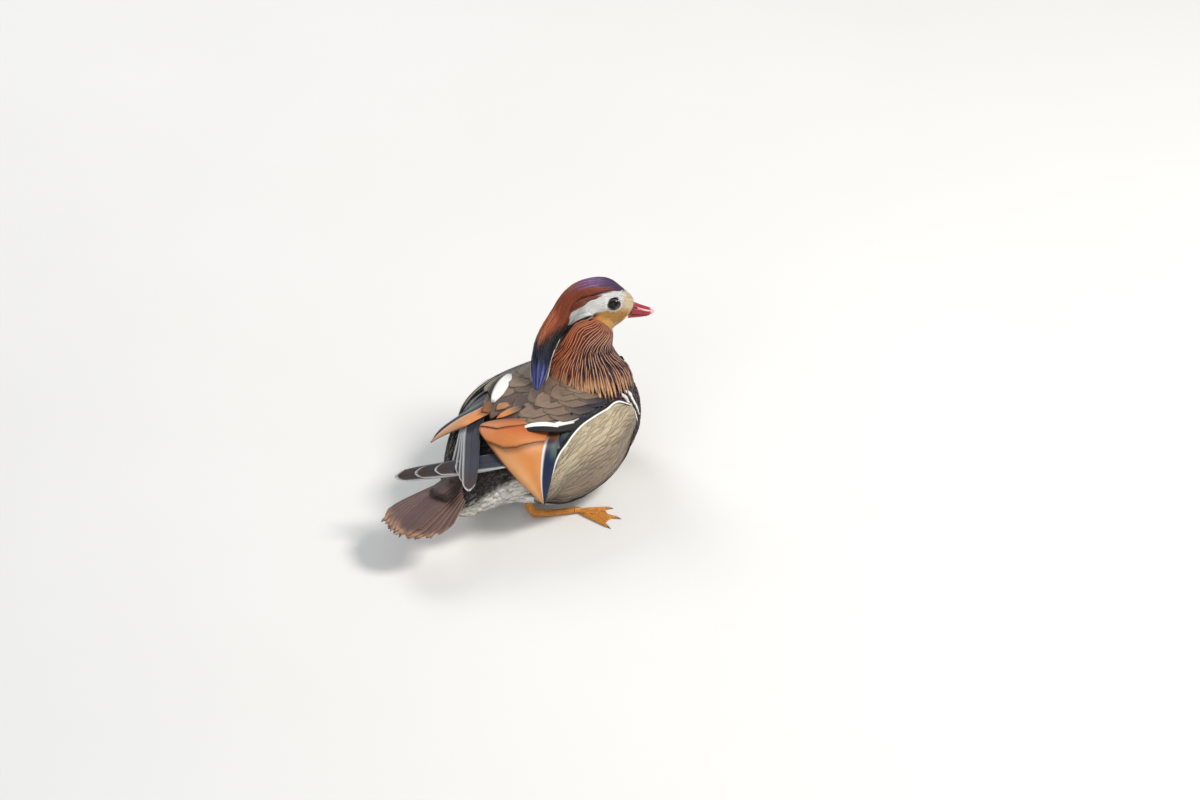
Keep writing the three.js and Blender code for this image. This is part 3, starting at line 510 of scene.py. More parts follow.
def set_colour(mesh, per_point):
    layer = mesh.attributes.new("plumage", "FLOAT_COLOR", "POINT")
    colours = np.concatenate([per_point.reshape(-1, 3), np.ones((per_point.size // 3, 1))], 1)
    layer.data.foreach_set("color", colours.astype(np.float32).ravel())


def set_number(mesh, name, per_point):
    layer = mesh.attributes.new(name, "FLOAT", "POINT")
    layer.data.foreach_set("value", per_point.astype(np.float32).ravel())


TUFT_PATCH = 0.003  # how much of the bake map each small feather covers


def grid_quads(place):
    """Faces between the neighbours of a grid of point numbers."""
    quads = [place[:-1, :-1], place[1:, :-1], place[1:, 1:], place[:-1, 1:]]
    return np.stack(quads, -1).reshape(-1, 4)


def blade_faces(count, stations, ring):
    """Closed tubes of stations rings each, with a face over each end."""
    place = np.arange(stations * ring).reshape(stations, ring)
    quads = grid_quads(np.concatenate([place, place[:, :1]], 1))
    starts = np.arange(count)[:, None] * stations * ring
    sides = (starts[..., None] + quads).reshape(-1, 4)
    return sides.tolist() + (starts + place[0]).tolist() + (starts + place[-1, ::-1]).tolist()


def bake_map(feather, patches, count):
    """Each feather's own cell of a square, or a small patch of it at the feather's place."""
    if patches is not None:
        corner = 0.01 + 0.98 * np.clip(patches, 0, 1)[:, None, None]
        return corner + TUFT_PATCH * (feather - 0.5)
    cells = math.ceil(math.sqrt(count))
    number = np.arange(count)
    corner = np.stack([number % cells, number // cells], -1)[:, None, None]
    return (corner + 0.04 + 0.92 * feather) / cells


def ends_at(values, t):
    """Stations of feathers, n, m, k, read at shares t of n, m, columns."""
    last = values.shape[1] - 1
    span = np.clip(t, 0, 1) * last
    i = np.minimum(span.astype(int), last - 1)
    share = (span - i)[..., None]
    n = np.arange(len(values))[:, None, None]
    return values[n, i] * (1 - share) + values[n, i + 1] * share


def blades(name, spine, up, half, colour, material, slot, *, columns=3, camber=0.12, thick=0.3,
           rounded=0.0, ragged=0.0, patches=None, replaces=()):
    """Many feathers as one mesh of closed thin blades.

    spine and up are n, stations, 3 and half is the half width at each station. colour takes places
    and feather coordinates and gives colours. rounded draws the tip's edges back, ragged frays it.
    """
    n, m = half.shape
    top = np.linspace(-1, 1, columns)
    u = np.concatenate([top, top[-2:0:-1]])
    face = np.concatenate([np.ones(columns), -np.ones(columns - 2)])
    even = np.linspace(0, 1, m)[None, :, None]
    fray = rng.uniform(0, ragged, (n, 1, columns))
    fray = np.concatenate([fray, fray[..., -2:0:-1]], -1)
    t = even * (1 - rounded * np.abs(u) ** 2.4) * (1 - fray * even**3)
    forward = unit(np.gradient(spine, axis=1))
    side = unit(np.cross(up, forward))
    upright = np.cross(forward, side)
    width = ends_at(half[..., None], t)
    arch = (thick / 2) * face * np.sqrt(1 - u * u)
    rise = arch[:, None] - camber * width * (u * u)[:, None]
    points = ends_at(spine, t) + ends_at(side, t) * width * u[:, None] + ends_at(upright, t) * rise
    piece = made(name, points, blade_faces(n, m, len(u)), material, replaces)
    feather = np.stack(np.broadcast_arrays((u + 1) / 2, t), -1)
    bake = bake_map(feather, patches, n)
    set_uv(piece.data, "feather", feather)
    set_uv(piece.data, "OFBake", np.broadcast_to(bake, points.shape[:3] + (2,)))
    set_colour(piece.data, np.broadcast_to(colour(points, feather), points.shape))
    tone = np.broadcast_to(rng.uniform(-1, 1, (n, 1, 1)), points.shape[:3])
    set_number(piece.data, "tone", tone)


# Half widths along a feather, as shares of its widest, at even stations
LEAF = [0.35, 0.82, 1.0, 0.8, 0.3]
TUFT = [0.4, 0.9, 0.8, 0.12]
HACKLE = [0.15, 0.55, 0.9, 1.0, 0.95, 0.8, 0.5, 0.06]
BROAD = [0.4, 0.7, 0.9, 1.0, 1.0, 0.97, 0.9, 0.82, 0.6, 0.34]
PLANK = [0.45, 0.75, 0.92, 1.0, 1.0, 1.0, 0.99, 0.98, 0.96, 0.9, 0.76, 0.5]


def resampled(profile, stations):
    return np.interp(np.linspace(0, 1, stations), np.linspace(0, 1, len(profile)), profile)


def share_of(profile, widths):
    return np.asarray(widths, float)[:, None] / 2 * np.asarray(profile)[None]


# Solids melted into soft forms, and surfaces to lay feathers on

def select_only(*pieces):
    bpy.ops.object.select_all(action="DESELECT")
    for piece in pieces:
        piece.select_set(True)
    bpy.context.view_layer.objects.active = pieces[0]


def melted(name, nodes, voxel, smooth, drawn_in=0):
    """Copies of solids melted into one smooth form, drawn in by a depth, all in millimetres."""
    copies = []
    for node in nodes:
        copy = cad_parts[node].copy()
        copy.data = copy.data.copy()
        copy.parent = None
        for key in list(copy.keys()):
            del copy[key]
        bpy.context.scene.collection.objects.link(copy)
        copies.append(copy)
    select_only(*copies)
    if len(copies) > 1:
        bpy.ops.object.join()
    piece = bpy.context.view_layer.objects.active
    piece.name = name
    piece.data.name = name
    bpy.ops.object.mode_set(mode="EDIT")
    bpy.ops.mesh.select_all(action="SELECT")
    bpy.ops.mesh.remove_doubles(threshold=0.01 * MM)
    bpy.ops.object.mode_set(mode="OBJECT")
    steps = [
        ("REMESH", {"mode": "VOXEL", "voxel_size": voxel * MM, "use_smooth_shade": True}),
        ("SMOOTH", {"factor": 0.5, "iterations": smooth}),
    ]
    if drawn_in:
        steps.append(("DISPLACE", {"strength": -drawn_in * MM, "mid_level": 0.0}))
    for kind, settings in steps:
        modifier = piece.modifiers.new(kind.lower(), kind)
        for key, value in settings.items():
            setattr(modifier, key, value)
        bpy.ops.object.modifier_apply(modifier=modifier.name)
    bpy.ops.object.shade_smooth()
    return piece


def vectors_of(mesh, kind):
    values = np.empty(len(mesh.vertices) * 3, np.float32)
    mesh.vertices.foreach_get(kind, values)
    return values.reshape(-1, 3).astype(float)


def points_of(mesh):
    return vectors_of(mesh, "co") / MM


class Surface:
    """A mesh to lay feathers on: nearest places and outward directions, in millimetres."""

    def __init__(self, mesh):
        corners = [face.vertices[:] for face in mesh.polygons]
        self.tree = BVHTree.FromPolygons([v.co / MM for v in mesh.vertices], corners)
        self.points = points_of(mesh)
        self.normals = vectors_of(mesh, "normal")
        self.corners = np.array([face[:3] for face in corners])
        self.fourth = np.array([face[-1] for face in corners])

    def nearest(self, points):
        flat = points.reshape(-1, 3)
        places = np.empty_like(flat)
        outward = np.empty_like(flat)
        for i, p in enumerate(flat):
            places[i], _, face, _ = self.tree.find_nearest(Vector(p))
            outward[i] = self.normals[self.corners[face]].mean(0)
        return places.reshape(points.shape), unit(outward).reshape(points.shape)

    def scatter(self, spacing, keep):
        """Places about a spacing apart where keep allows, with their outward directions."""
        tries, crowding = 5, 0.82
        a, b, c = (self.points[self.corners[:, i]] for i in range(3))
        d = self.points[self.fourth]
        kept = np.nonzero(keep((a + c) / 2))[0]
        a, b, c, d = a[kept], b[kept], c[kept], d[kept]
        area = np.linalg.norm(np.cross(c - a, d - b), axis=1) / 2
        count = int(area.sum() / spacing**2 * tries)
        pick = rng.choice(len(kept), count, p=area / area.sum())
        s, t = rng.random((2, count, 1))
        points = mix(mix(a[pick], b[pick], s), mix(d[pick], c[pick], s), t)
        outward = unit(self.normals[self.corners[kept[pick]]].mean(1))
        taken = {}
        chosen = []
        for i, p in enumerate(points):
            cell = tuple((p // spacing).astype(int))
            near = product(*[(c - 1, c, c + 1) for c in cell])
            others = [other for at in near for other in taken.get(at, ())]
            if all(math.dist(p, other) >= spacing * crowding for other in others):
                taken.setdefault(cell, []).append(p)
                chosen.append(i)
        return points[chosen], outward[chosen]


def laid(surface, roots, outward, flow, lengths, stations, low, high):
    """Spines that run from roots along a flow, following the surface, lifted from low to high."""
    stride = lengths[:, None] / (stations - 1)
    places = [(roots, outward)]
    for _ in range(stations - 1):
        place, normal = places[-1]
        heading = flow(place)
        heading = unit(heading - normal * dot(heading, normal))
        places.append(surface.nearest(place + heading * stride))
    place, up = (np.stack(part, 1) for part in zip(*places))
    return place + up * mix(low, high, np.linspace(0, 1, stations))[:, None], up


# Skin: one form under the coat

FLESH = ("torso", "neck", "head")
UNDER_COAT = FLESH + ("flank_left", "flank_right", "ruff_left", "ruff_right")


def wear_skin():
    skin = melted("skin", UNDER_COAT, voxel=2.0, smooth=14, drawn_in=1.3)
    set_colour(skin.data, plumage_colour(points_of(skin.data)))
    settle(skin, soft_skin(), FLESH)
    return Surface(skin.data)


body = wear_skin()


def body_patch(points):
    """Where a root lies on an unwrap of the body: along it and round it."""
    x, angle = body_place(points)
    return np.stack([(x + 170) / 300, angle / 360 + 0.5], -1)


def flank_edges(side, x):
    share = (FLANK_FRONT - x) / (FLANK_FRONT - FLANK_REAR[side])
    return share, along(FLANK_UPPER, share), along(FLANK_LOWER, share)


def in_flank(points, margin):
    x, angle = body_place(points)
    held = np.zeros(len(points), bool)
    for side, sign in SIDES.items():
        share, upper, lower = flank_edges(side, x)
        inside = (angle * sign > upper + margin) & (angle * sign < lower - margin)
        held |= (share > 0) & (share < 1) & inside
    return held & (points[:, 2] < 118)


def in_ruff_zone(points):
    return (points[:, 2] > 119) & (points[:, 0] > 10)


def on_head(points):
    x, _, z = in_head(points)
    return (z > -34) & (x > -44) & (points[:, 2] > 168)


# Contour feathers: breast, shoulder, belly, rump and vent

def body_flow(points):
    """Back along the body, and downwards over the breast."""
    x = points[..., 0]
    inward, fall = -0.18 * step(-60, -120, x), -0.55 * step(70, 112, x)
    return unit(np.stack([np.full_like(x, -1.0), inward, fall], -1))


def contour(name, material, keep, spacing, length, width, lift, by_root=False):
    """Small feathers scattered over the body, painted by place or each in its root's one colour."""
    roots, outward = body.scatter(spacing, keep)
    sizes = rng.uniform(0.88, 1.12, len(roots))
    spine, up = laid(body, roots, outward, body_flow, length * sizes, len(LEAF), *lift)
    blades(name, spine, up, share_of(LEAF, width * sizes),
           lambda p, f: plumage_colour(spine[:, :1, None] if by_root else p),
           material, "plumage_body", thick=0.35, camber=0.1, patches=body_patch(roots))


BREAST_REAR = 36  # x at which the breast's small feathers end
BELLY_EDGE = 100  # angle from the back's ridge at which the belly starts


def uncovered(points):
    """Where neither flank, ruff nor wing covers the body and the ground doesn't touch it."""
    x, angle = body_place(points)
    under_wing = (np.abs(angle) < 34) & (x < 40) & (x > -64)
    return ~in_flank(points, 6) & ~in_ruff_zone(points) & ~under_wing & (points[:, 2] > 1)


def on_breast(points):
    return uncovered(points) & (points[:, 0] > BREAST_REAR)


def on_belly(points):
    _, angle = body_place(points)
    return uncovered(points) & (points[:, 0] <= BREAST_REAR) & (np.abs(angle) > BELLY_EDGE)


def on_rear(points):
    _, angle = body_place(points)
    return uncovered(points) & (points[:, 0] <= BREAST_REAR) & (np.abs(angle) <= BELLY_EDGE)


breast_plumage = plumage("breast_plumage", roughness=0.42, barbs=9, rim=PLUM * 0.8, streak=0.25)
pale_plumage = plumage("pale_plumage", roughness=0.65, barbs=10, streak=0.06, barb_shade=0.12)
rear_plumage = plumage("rear_plumage", barbs=22, streak=0.12)
contour("breast_feathers", breast_plumage, on_breast, spacing=3.5, length=10, width=7.5,
        lift=(0.4, 2.0), by_root=True)
contour("belly_feathers", pale_plumage, on_belly, spacing=7.0, length=23, width=15, lift=(0.3, 1.3))
contour("rear_feathers", rear_plumage, on_rear, spacing=6.4, length=22, width=14, lift=(0.3, 1.3))


# Head: the finest tufts, from the bill back over cheek and brow

def head_flow(points):
    x, y, z = in_head(points)
    fall = -0.12 - 1.1 * step(-16, -30, z) * step(-30, 5, x)
    flow = np.stack([-np.ones_like(x), 0.1 * np.sign(y), fall], -1)
    return unit(flow @ HEAD_AXES.T)


def head_patch(points):
    x, y, z = in_head(points)
    return np.stack([(x + 50) / 80, np.arctan2(y, z + 3) / (2 * math.pi) + 0.5], -1)


def tufted(points):
    """The head but for the eyes and the bill's root."""
    x, y, z = in_head(points)
    eye = (from_eye(x, z) < 7.6) & (np.abs(y) > 9)
    bill = (x > 12.5) & (np.abs(y) < 8.2) & (z < -4.5) & (z > -25)
    return on_head(points) & ~eye & ~bill


TUFT_SPACING = 1.2


def wear_head_tufts():
    roots, outward = body.scatter(TUFT_SPACING, tufted)
    x, _, z = in_head(roots)
    face = step(-6, 14, x)
    lengths = mix(6.0, 2.4, face) * mix(0.55, 1.0, step(9, 15, from_eye(x, z)))
    spine, up = laid(body, roots, outward, head_flow, lengths, len(TUFT), 0.1, 0.5)
    blades("head_tufts", spine, up, share_of(TUFT, mix(1.9, 1.1, face)), lambda p, f: head_colour(p),
           plumage("head_plumage", roughness=0.6, barbs=3, streak=0.08, barb_shade=0.14),
           "plumage_head", camber=0.15, patches=head_patch(roots))


wear_head_tufts()


# Bill

def wear_bill(node):
    piece = melted(f"{node}_horn", (node,), voxel=0.4, smooth=5)
    x, y, z = in_head(points_of(piece.data))
    set_number(piece.data, "nail", step(39.5, 42.5, x - 0.05 * y**2) * step(-16.2, -15.2, z))
    settle(piece, bill, (node,))


bill = bill_horn()
for node in ("bill_upper", "bill_lower"):
    wear_bill(node)


# Eyes and lids

LID_RADIUS = 0.62
LID_SET = 0.55  # how far outside the opening the lid's middle runs


def in_eye_frame(piece, sign):
    """Turns a piece made along Z so that Z is the eye's outward axis, and moves it there."""
    outward = HEAD_AXES @ unit(np.array([0.06, sign, 0.12]))
    forward = unit(HEAD_AXES[:, 0] - outward * dot(HEAD_AXES[:, 0], outward))
    turned = Matrix(np.stack([forward, np.cross(outward, forward), outward], 1).tolist()).to_4x4()
    x, y, z = EYE_PLACE
    turned.translation = Vector(head_point(x, y * sign, z) * MM)
    piece.data.transform(turned)


def wear_eyeball(side, sign):
    bpy.ops.object.select_all(action="DESELECT")
    bpy.ops.mesh.primitive_uv_sphere_add(segments=64, ring_count=48, radius=EYE_RADIUS * MM)
    eye = bpy.context.object
    eye.name = f"eyeball_{side}"
    x, y, z = points_of(eye.data).T
    set_number(eye.data, "axis", np.hypot(x, y) / EYE_OPENING + 10 * (z < 0))
    for vertex, swell in zip(eye.data.vertices, step(0.78, 1.0, z / EYE_RADIUS)):
        vertex.co *= 1 + 0.05 * swell
    bpy.ops.object.shade_smooth()
    in_eye_frame(eye, sign)
    settle(eye, eye_glass(), (f"eye_{side}",))


def wear_eyelid(side, sign):
    bpy.ops.object.select_all(action="DESELECT")
    height = math.sqrt(EYE_RADIUS**2 - EYE_OPENING**2)
    bpy.ops.mesh.primitive_torus_add(
        major_segments=72, minor_segments=14, major_radius=(EYE_OPENING + LID_SET) * MM,
        minor_radius=LID_RADIUS * MM, location=(0, 0, height * MM))
    lid = bpy.context.object
    lid.name = f"eyelid_{side}"
    bpy.ops.object.transform_apply(location=True)
    bpy.ops.object.shade_smooth()
    for vertex in lid.data.vertices:
        around = math.atan2(vertex.co.y, vertex.co.x)
        vertex.co.x *= 1.05
        vertex.co.y *= 0.93
        vertex.co.z -= 1.1 * MM * math.cos(around) ** 2
        vertex.co.z += 0.12 * MM * math.sin(around * 22)
    in_eye_frame(lid, sign)
    settle(lid, lids)


lids = lid_skin()
for side, sign in SIDES.items():
    wear_eyeball(side, sign)
    wear_eyelid(side, sign)


# Crest: long locks in tiers over a core, from the crown down to the tip

CREST_SPINE = np.array([
    head_point(10, 0, 9), head_point(-10, 0, 16.5), head_point(-30, 0, 11), head_point(-46, 0, -4),
    (46, 28, 187), (28, 26, 173), (12, 20.5, 154), (-1, 9, 140), (-14.5, -4, 126.5),
])
# Half depth and half width of the fall, at even steps along the spine
CREST_SECTION = np.array([
    [2.5, 5], [5.5, 10.5], [9, 12.5], [11.5, 12], [13.5, 11.5], [15, 11], [16, 10.5], [13.5, 9.5], [3, 3],
])
# Length walked at even shares of the spine, so that shares go by length as they do in the solids
CREST_STEPS = np.linspace(0, 1, 500)
CREST_STRIDES = np.linalg.norm(np.diff(along(CREST_SPINE, CREST_STEPS), axis=0), axis=1)
CREST_WALKED = np.concatenate([[0], np.cumsum(CREST_STRIDES)])


def crest_point(s, degrees, swell):
    """At a share of the crest's length and an angle round it from its ridge, swelled off its spine."""
    s, degrees, swell = np.broadcast_arrays(np.asarray(s, float), degrees, swell)
    share = np.interp(s * CREST_WALKED[-1], CREST_WALKED, CREST_STEPS)
    forward = unit(run_of(lambda at: along(CREST_SPINE, at), share, 0.004))
    side = unit(np.cross(forward, UPWARD))
    outward = np.cross(side, forward)
    deep, wide = np.moveaxis(along(CREST_SECTION, s), -1, 0)
    angle = degrees * DEGREE
    rise = outward * (np.cos(angle) * deep * swell)[..., None]
    return along(CREST_SPINE, share) + rise + side * (np.sin(angle) * wide * swell)[..., None]


def crest_colour(s, degrees):
    """Violet crown, copper fall with a painted peach highlight along its ridge, near-black under side and
    a navy tip with lavender glints.
    """
    off = np.abs(degrees)
    edge = np.interp(s, [0.36, 0.46, 0.54, 0.61, 0.67, 0.73], [190, 140, 105, 70, 38, -5])
    dark = step(-9, 9, off - edge)
    sheen = 0.6 + 0.4 * np.sin(degrees * 0.31 + 9 * s)
    glint = 0.5 + 0.5 * np.sin(degrees * 0.16 + 2)
    return tinted(
        VIOLET * 0.4,
        (LILAC * 0.8, step(0.1, 0.18, s) * step(0.36, 0.25, s) * step(100, 40, off) * sheen),
        (COPPER * 0.85, step(0.2, 0.34, s + 0.17 * step(35, 75, off))),
        (RUST, step(0.4, 0.62, s) * step(60, 10, off) * 0.6),
        # painted peach highlight along the fall's ridge, in streaks by the sheen wave
        (PEACH * 0.7, step(0.4, 0.6, s) * step(42, 8, off) * sheen * 0.4),
        (MAROON * 0.8, step(-45, -5, off - edge) * step(0.16, 0.3, s) * 0.85),
        (GREEN_BLACK * 0.6, dark),
        (NAVY, dark * step(0.66, 0.76, s) * step(110, 70, off)),
        (LAVENDER, step(0.8, 0.92, s) * step(130, 85, off) * glint),
    )


CREST_PLUMES = 900


def wear_crest_core():
    share, angle = even_grid(70, 48, down=(0.01, 0.985), across=(-180, 172.5))
    place = np.arange(share.size).reshape(share.shape)
    after = np.roll(place, -1, axis=1)
    quads = np.stack([place[:-1], after[:-1], after[1:], place[1:]], -1).reshape(-1, 4)
    faces = quads.tolist() + [place[0, ::-1].tolist(), place[-1].tolist()]
    core = made("crest_core", crest_point(share, angle, 0.86), faces, soft_skin(), ("crest",))
    set_uv(core.data, "OFBake", np.stack([angle / 360 + 0.5, share], -1))
    set_colour(core.data, crest_colour(share, angle) * 0.7)


def wear_crest_plumes():
    count, half = CREST_PLUMES, CREST_PLUMES // 2
    root = np.concatenate([rng.uniform(0.0, 0.24, half), rng.uniform(0.2, 0.72, half)])
    degrees = rng.uniform(-1, 1, count) * np.interp(root, [0, 0.12, 0.3, 0.7], [84, 130, 166, 172])
    long = np.interp(root, [0, 0.2, 0.5, 0.72], [0.24, 0.32, 0.34, 0.27])
    tip = root + long * rng.uniform(0.85, 1.1, count)
    tip = np.minimum(tip, 0.97 + 0.03 * rng.random(count))
    t = np.linspace(0, 1, len(HACKLE))[None]
    s = mix(root[:, None], tip[:, None], t)
    swell = np.interp(t, [0, 0.2, 0.7, 1], [0.62, 0.98, 1.02, 0.95])
    swell = swell + rng.uniform(-0.04, 0.03, (count, 1))
    swell = swell * np.interp(root, [0, 0.3, 0.6, 0.72], [1.0, 1.0, 0.9, 0.8])[:, None]
    wave = degrees[:, None] + 3 * np.sin(3 * t + rng.uniform(0, 6, (count, 1)))
    spine = crest_point(s, wave, swell)
    up = unit(spine - crest_point(s, wave, 0.0))
    blades("crest_plumes", spine, up, share_of(HACKLE, rng.uniform(2.0, 3.3, count)),
           lambda p, f: crest_colour(s[..., None], wave[..., None]),
           plumage("crest_plumage", roughness=0.42, barbs=24, slant=0.9, barb_shade=0.3, streak=0.3,
                   Sheen_Weight=0.1, Specular_IOR_Level=0.4),
           "crest", thick=0.8, camber=0.2, patches=np.stack([root, degrees / 360 + 0.5], -1))


def wear_crest_streaks():
    """A few thin white feathers down the fall's inner sides."""
    degrees = np.array([118.0, 128, 106, -118, -128, -106])[:, None]
    root = np.array([0.62, 0.66, 0.7] * 2)[:, None]
    t = np.linspace(0, 1, len(HACKLE))[None]
    s = root + 0.21 * t
    spine = crest_point(s, degrees + 4 * t, 1.1)
    up = unit(spine - crest_point(s, degrees, 0.0))
    blades("crest_streaks", spine, up, share_of(HACKLE, [1.7] * len(root)), lambda p, f: WHITE,
           pale_plumage, "crest", thick=0.8, camber=0.1)


wear_crest_core()
wear_crest_plumes()
wear_crest_streaks()


# Long feathers that stream back from the brow: white ones, copper ones above, green-black ones below

# Upper and lower line of each in the head's frame: root, two places on the way and tip
BROW_LINES = (
    ((-14, 18.5, 10), (-30, 17, 2.5), (-44, 14, -12), (-55, 12.5, -30)),
    ((-14, 20, -6), (-28, 19, -14), (-40, 16, -25), (-55, 13, -36)),
)
TEMPLE_LINES = (
    ((-13, 16.5, 14), (-31, 16.5, 8), (-44, 14.5, -3), (-56, 11, -20)),
    ((-35, 17, -2.5), (-41, 16, -8), (-48, 14.2, -15), (-57, 12, -31)),
)
STRIPE_LINES = (
    ((-24, 19.5, -13), (-36, 18.5, -21), (-48, 16, -31), (-60, 13, -50)),
    ((-24, 19.5, -14.5), (-36, 18.5, -26), (-49, 15, -40), (-62, 12, -62)),
)


def locks(controls, stations, start, end):
    """Spines cut from smooth curves between shares start and end, and their stations' shares."""
    t = mix(start[:, None], end[:, None], np.linspace(0, 1, len(HACKLE)))
    return ends_at(curves(controls, stations), t[..., None])[:, :, 0], t


def stream(name, lines, count, widths, colour, slot):
    """Locks between two lines on each side of the head, from the skin where it is near."""
    side = np.repeat([1.0, -1.0], count)
    q = np.tile(rng.random(count), 2)
    start = np.tile(rng.uniform(0, 0.45, count), 2)
    upper, lower = np.array(lines, float)
    x, y, z = np.moveaxis(mix(upper, lower, q[:, None, None]), -1, 0)
    end = np.minimum(start + rng.uniform(0.4, 0.62, 2 * count), 1)
    spine, _ = locks(head_point(x, y * side[:, None], z), 24, start, end)
    place, normal = body.nearest(spine)
    free = step(3, 9, np.linalg.norm(spine - place, axis=-1, keepdims=True))
    aside = unit(side[:, None, None] * HEAD_AXES[:, 1] + HEAD_AXES[:, 2] * 0.25)
    up = unit(mix(normal, aside, free))
    rise = 0.5 * (1 - start[:, None]) + np.linspace(-0.6, 0.5, len(HACKLE))
    spine = mix(place + normal * 0.5, spine, free) + up * rise[..., None]
    half = share_of(HACKLE, rng.uniform(*widths, 2 * count))
    blades(name, spine, up, half, lambda p, f: colour,
           plumage(name, roughness=0.5, barbs=16, slant=0.9, barb_shade=0.12, streak=0.05), slot,
           thick=0.4, patches=np.stack([start, 0.5 + 0.5 * side * q], -1))


stream("brow_plumes", BROW_LINES, 250, (1.2, 2.0), WHITE, "plumage_head")
stream("temple_plumes", TEMPLE_LINES, 140, (1.5, 2.4), COPPER * 0.8, "crest")
stream("stripe_plumes", STRIPE_LINES, 130, (1.4, 2.4), GREEN_BLACK, "plumage_head")


# Ruff: long pointed hackles fanned from the cheek to the shoulder

# Angles round the neck: of the back hackle, of the cheek where they all meet and of the front one
RUFF_SPREAD = {"left": (152, 58, 36), "right": (210, 126, 52)}
RUFF_ROOTS = np.array([[-19, 19, -15], [-15, 19, -18], [-11, 18.5, -21], [-7, 17, -26], [-2, 13, -34]])
RUFF_WAYS = np.array([[-38, 16.5, -30], [-28, 18, -34], [-18, 18, -36], [-9, 16, -39], [-2, 11, -41]])
RUFF_TIP_HEIGHTS = (124, 121, 118, 114, 111)
RUFF_LAYERS = 5
RUFF_HACKLES = 22  # to a layer


def off_shaft(feather):
    return np.abs(2 * feather[..., 0] - 1)


def ruff_colour(q, t, off):
    back, front, tip = step(0.55, 0.15, q), step(0.6, 0.95, q), step(0.72, 0.92, t)
    return tinted(
        MAROON * 1.5,
        (RUST, back),
        (PLUM * 0.8, front),
        (COPPER, step(0.35, 0.1, t) * 0.7),
        (MAROON * 0.5, step(0.2, 0.9, off) * (1 - tip) * (1 - 0.4 * back)),
        (PEACH, tip * (0.9 - 0.55 * front)),
    )


def wear_ruff(side, sign):
    layer, k = np.divmod(np.arange(RUFF_LAYERS * RUFF_HACKLES), RUFF_HACKLES)
    q = (k + rng.uniform(-0.25, 0.25, len(k)) + 0.5 * (layer % 2)) / (RUFF_HACKLES - 1)
    q = np.clip(q, 0, 1)
    tips = along(RUFF_TIP_HEIGHTS, q) + rng.uniform(-3, 3, len(q))
    back, meeting, front = RUFF_SPREAD[side]
    angle = mix(meeting, mix(back, front, q)[:, None], np.array([0.72, 0.9, 0.98, 1.0])) * sign
    stops = neck_point(mix(164, tips[:, None], np.array([0.2, 0.5, 0.8, 1.0])), angle, 3.0)
    x, y, z = np.stack([along(RUFF_ROOTS, q), along(RUFF_WAYS, q)], 1).transpose(2, 0, 1)
    start = np.interp(layer, [0, 1, 3, 4], [0.36, 0.2, 0.06, 0.0])
    end = np.interp(layer, [0, 2, 4], [1.0, 0.93, 0.46]) * rng.uniform(0.97, 1.02, len(q))
    controls = np.concatenate([head_point(x, sign * y, z), stops], 1)
    spine, t = locks(controls, 40, start, np.minimum(end, 1))
    place, normal = body.nearest(spine)
    lift = mix(-0.6, 2.8 + 0.35 * layer[:, None], np.linspace(0, 1, len(HACKLE)) ** 0.7)
    spine = place + normal * (lift + 0.3 * (k % 2)[:, None])[..., None]
    fan = np.interp(t, [0, 0.3, 0.75, 1], [0.3, 0.62, 1.0, 1.1])
    half = share_of(HACKLE, 6.6 * rng.uniform(0.9, 1.1, len(q))) * fan
    blades(f"ruff_hackles_{side}", spine, normal, half,
           lambda p, f: ruff_colour(q[:, None, None], t[..., None], off_shaft(f)),
           ruff_plumage, "ruff", columns=7, thick=0.5, camber=0.3,
           patches=np.stack([q, start], -1), replaces=(f"ruff_{side}",))


ruff_plumage = plumage("ruff_plumage", roughness=0.4, barbs=16, barb_shade=0.08, slant=2.2,
                       shaft=PEACH, shaft_width=0.2, streak=0.1, Sheen_Weight=0.15)
for side, sign in SIDES.items():
    wear_ruff(side, sign)


# Flanks: broad smooth feathers, finely barred, bordered in black and white above

def flank_point(side, s, q, lift):
    """On the flank's pillow at shares s from its front and q from its upper edge."""
    s, q, lift = np.broadcast_arrays(np.asarray(s, float), q, lift)
    proud = mix(0.62, 1.0, step(0, 0.3, q))
    proud = proud * np.where(q > 0.5, np.sin(math.pi * q.clip(0.5, 1)).clip(0) ** 0.55, 1)
    ends = np.sin(math.pi * np.clip(s, 0.03, 0.97)) ** 0.5
    rise = (9 + 3 * s) * proud * ends
    angle = mix(along(FLANK_UPPER, s), along(FLANK_LOWER, s), q)
    return body_point(mix(FLANK_FRONT, FLANK_REAR[side], s), SIDES[side] * angle, rise + lift)


def flank_colour(s, q):
    dark = step(0.55, 1.0, q) * 0.45 + 0.35 * step(0.7, 1.0, s) * step(0.2, 0.5, q)
    foot = step(0.9, 0.97, q) * 0.6
    return tinted(BUFF, (TAUPE, step(0.15, 0.5, q)), (UMBER, dark), (WHITE, foot))


def flank_place(side, points):
    """Shares along the flank and down from its upper edge, of points on it."""
    x, angle = body_place(points)
    share, upper, lower = flank_edges(side, x)
    return share, (angle * SIDES[side] - upper) / (lower - upper)


def flank_normal(side, s, q):
    ahead = run_of(lambda at: flank_point(side, at, q, 0.0), s)
    across = run_of(lambda at: flank_point(side, s, at, 0.0), q)
    normal = unit(np.cross(across, ahead))
    outward = flank_point(side, s, q, 1.0) - flank_point(side, s, q, 0.0)
    return normal * np.sign(dot(normal, outward))


FLANK_ROWS, FLANK_COLUMNS = 15, 13


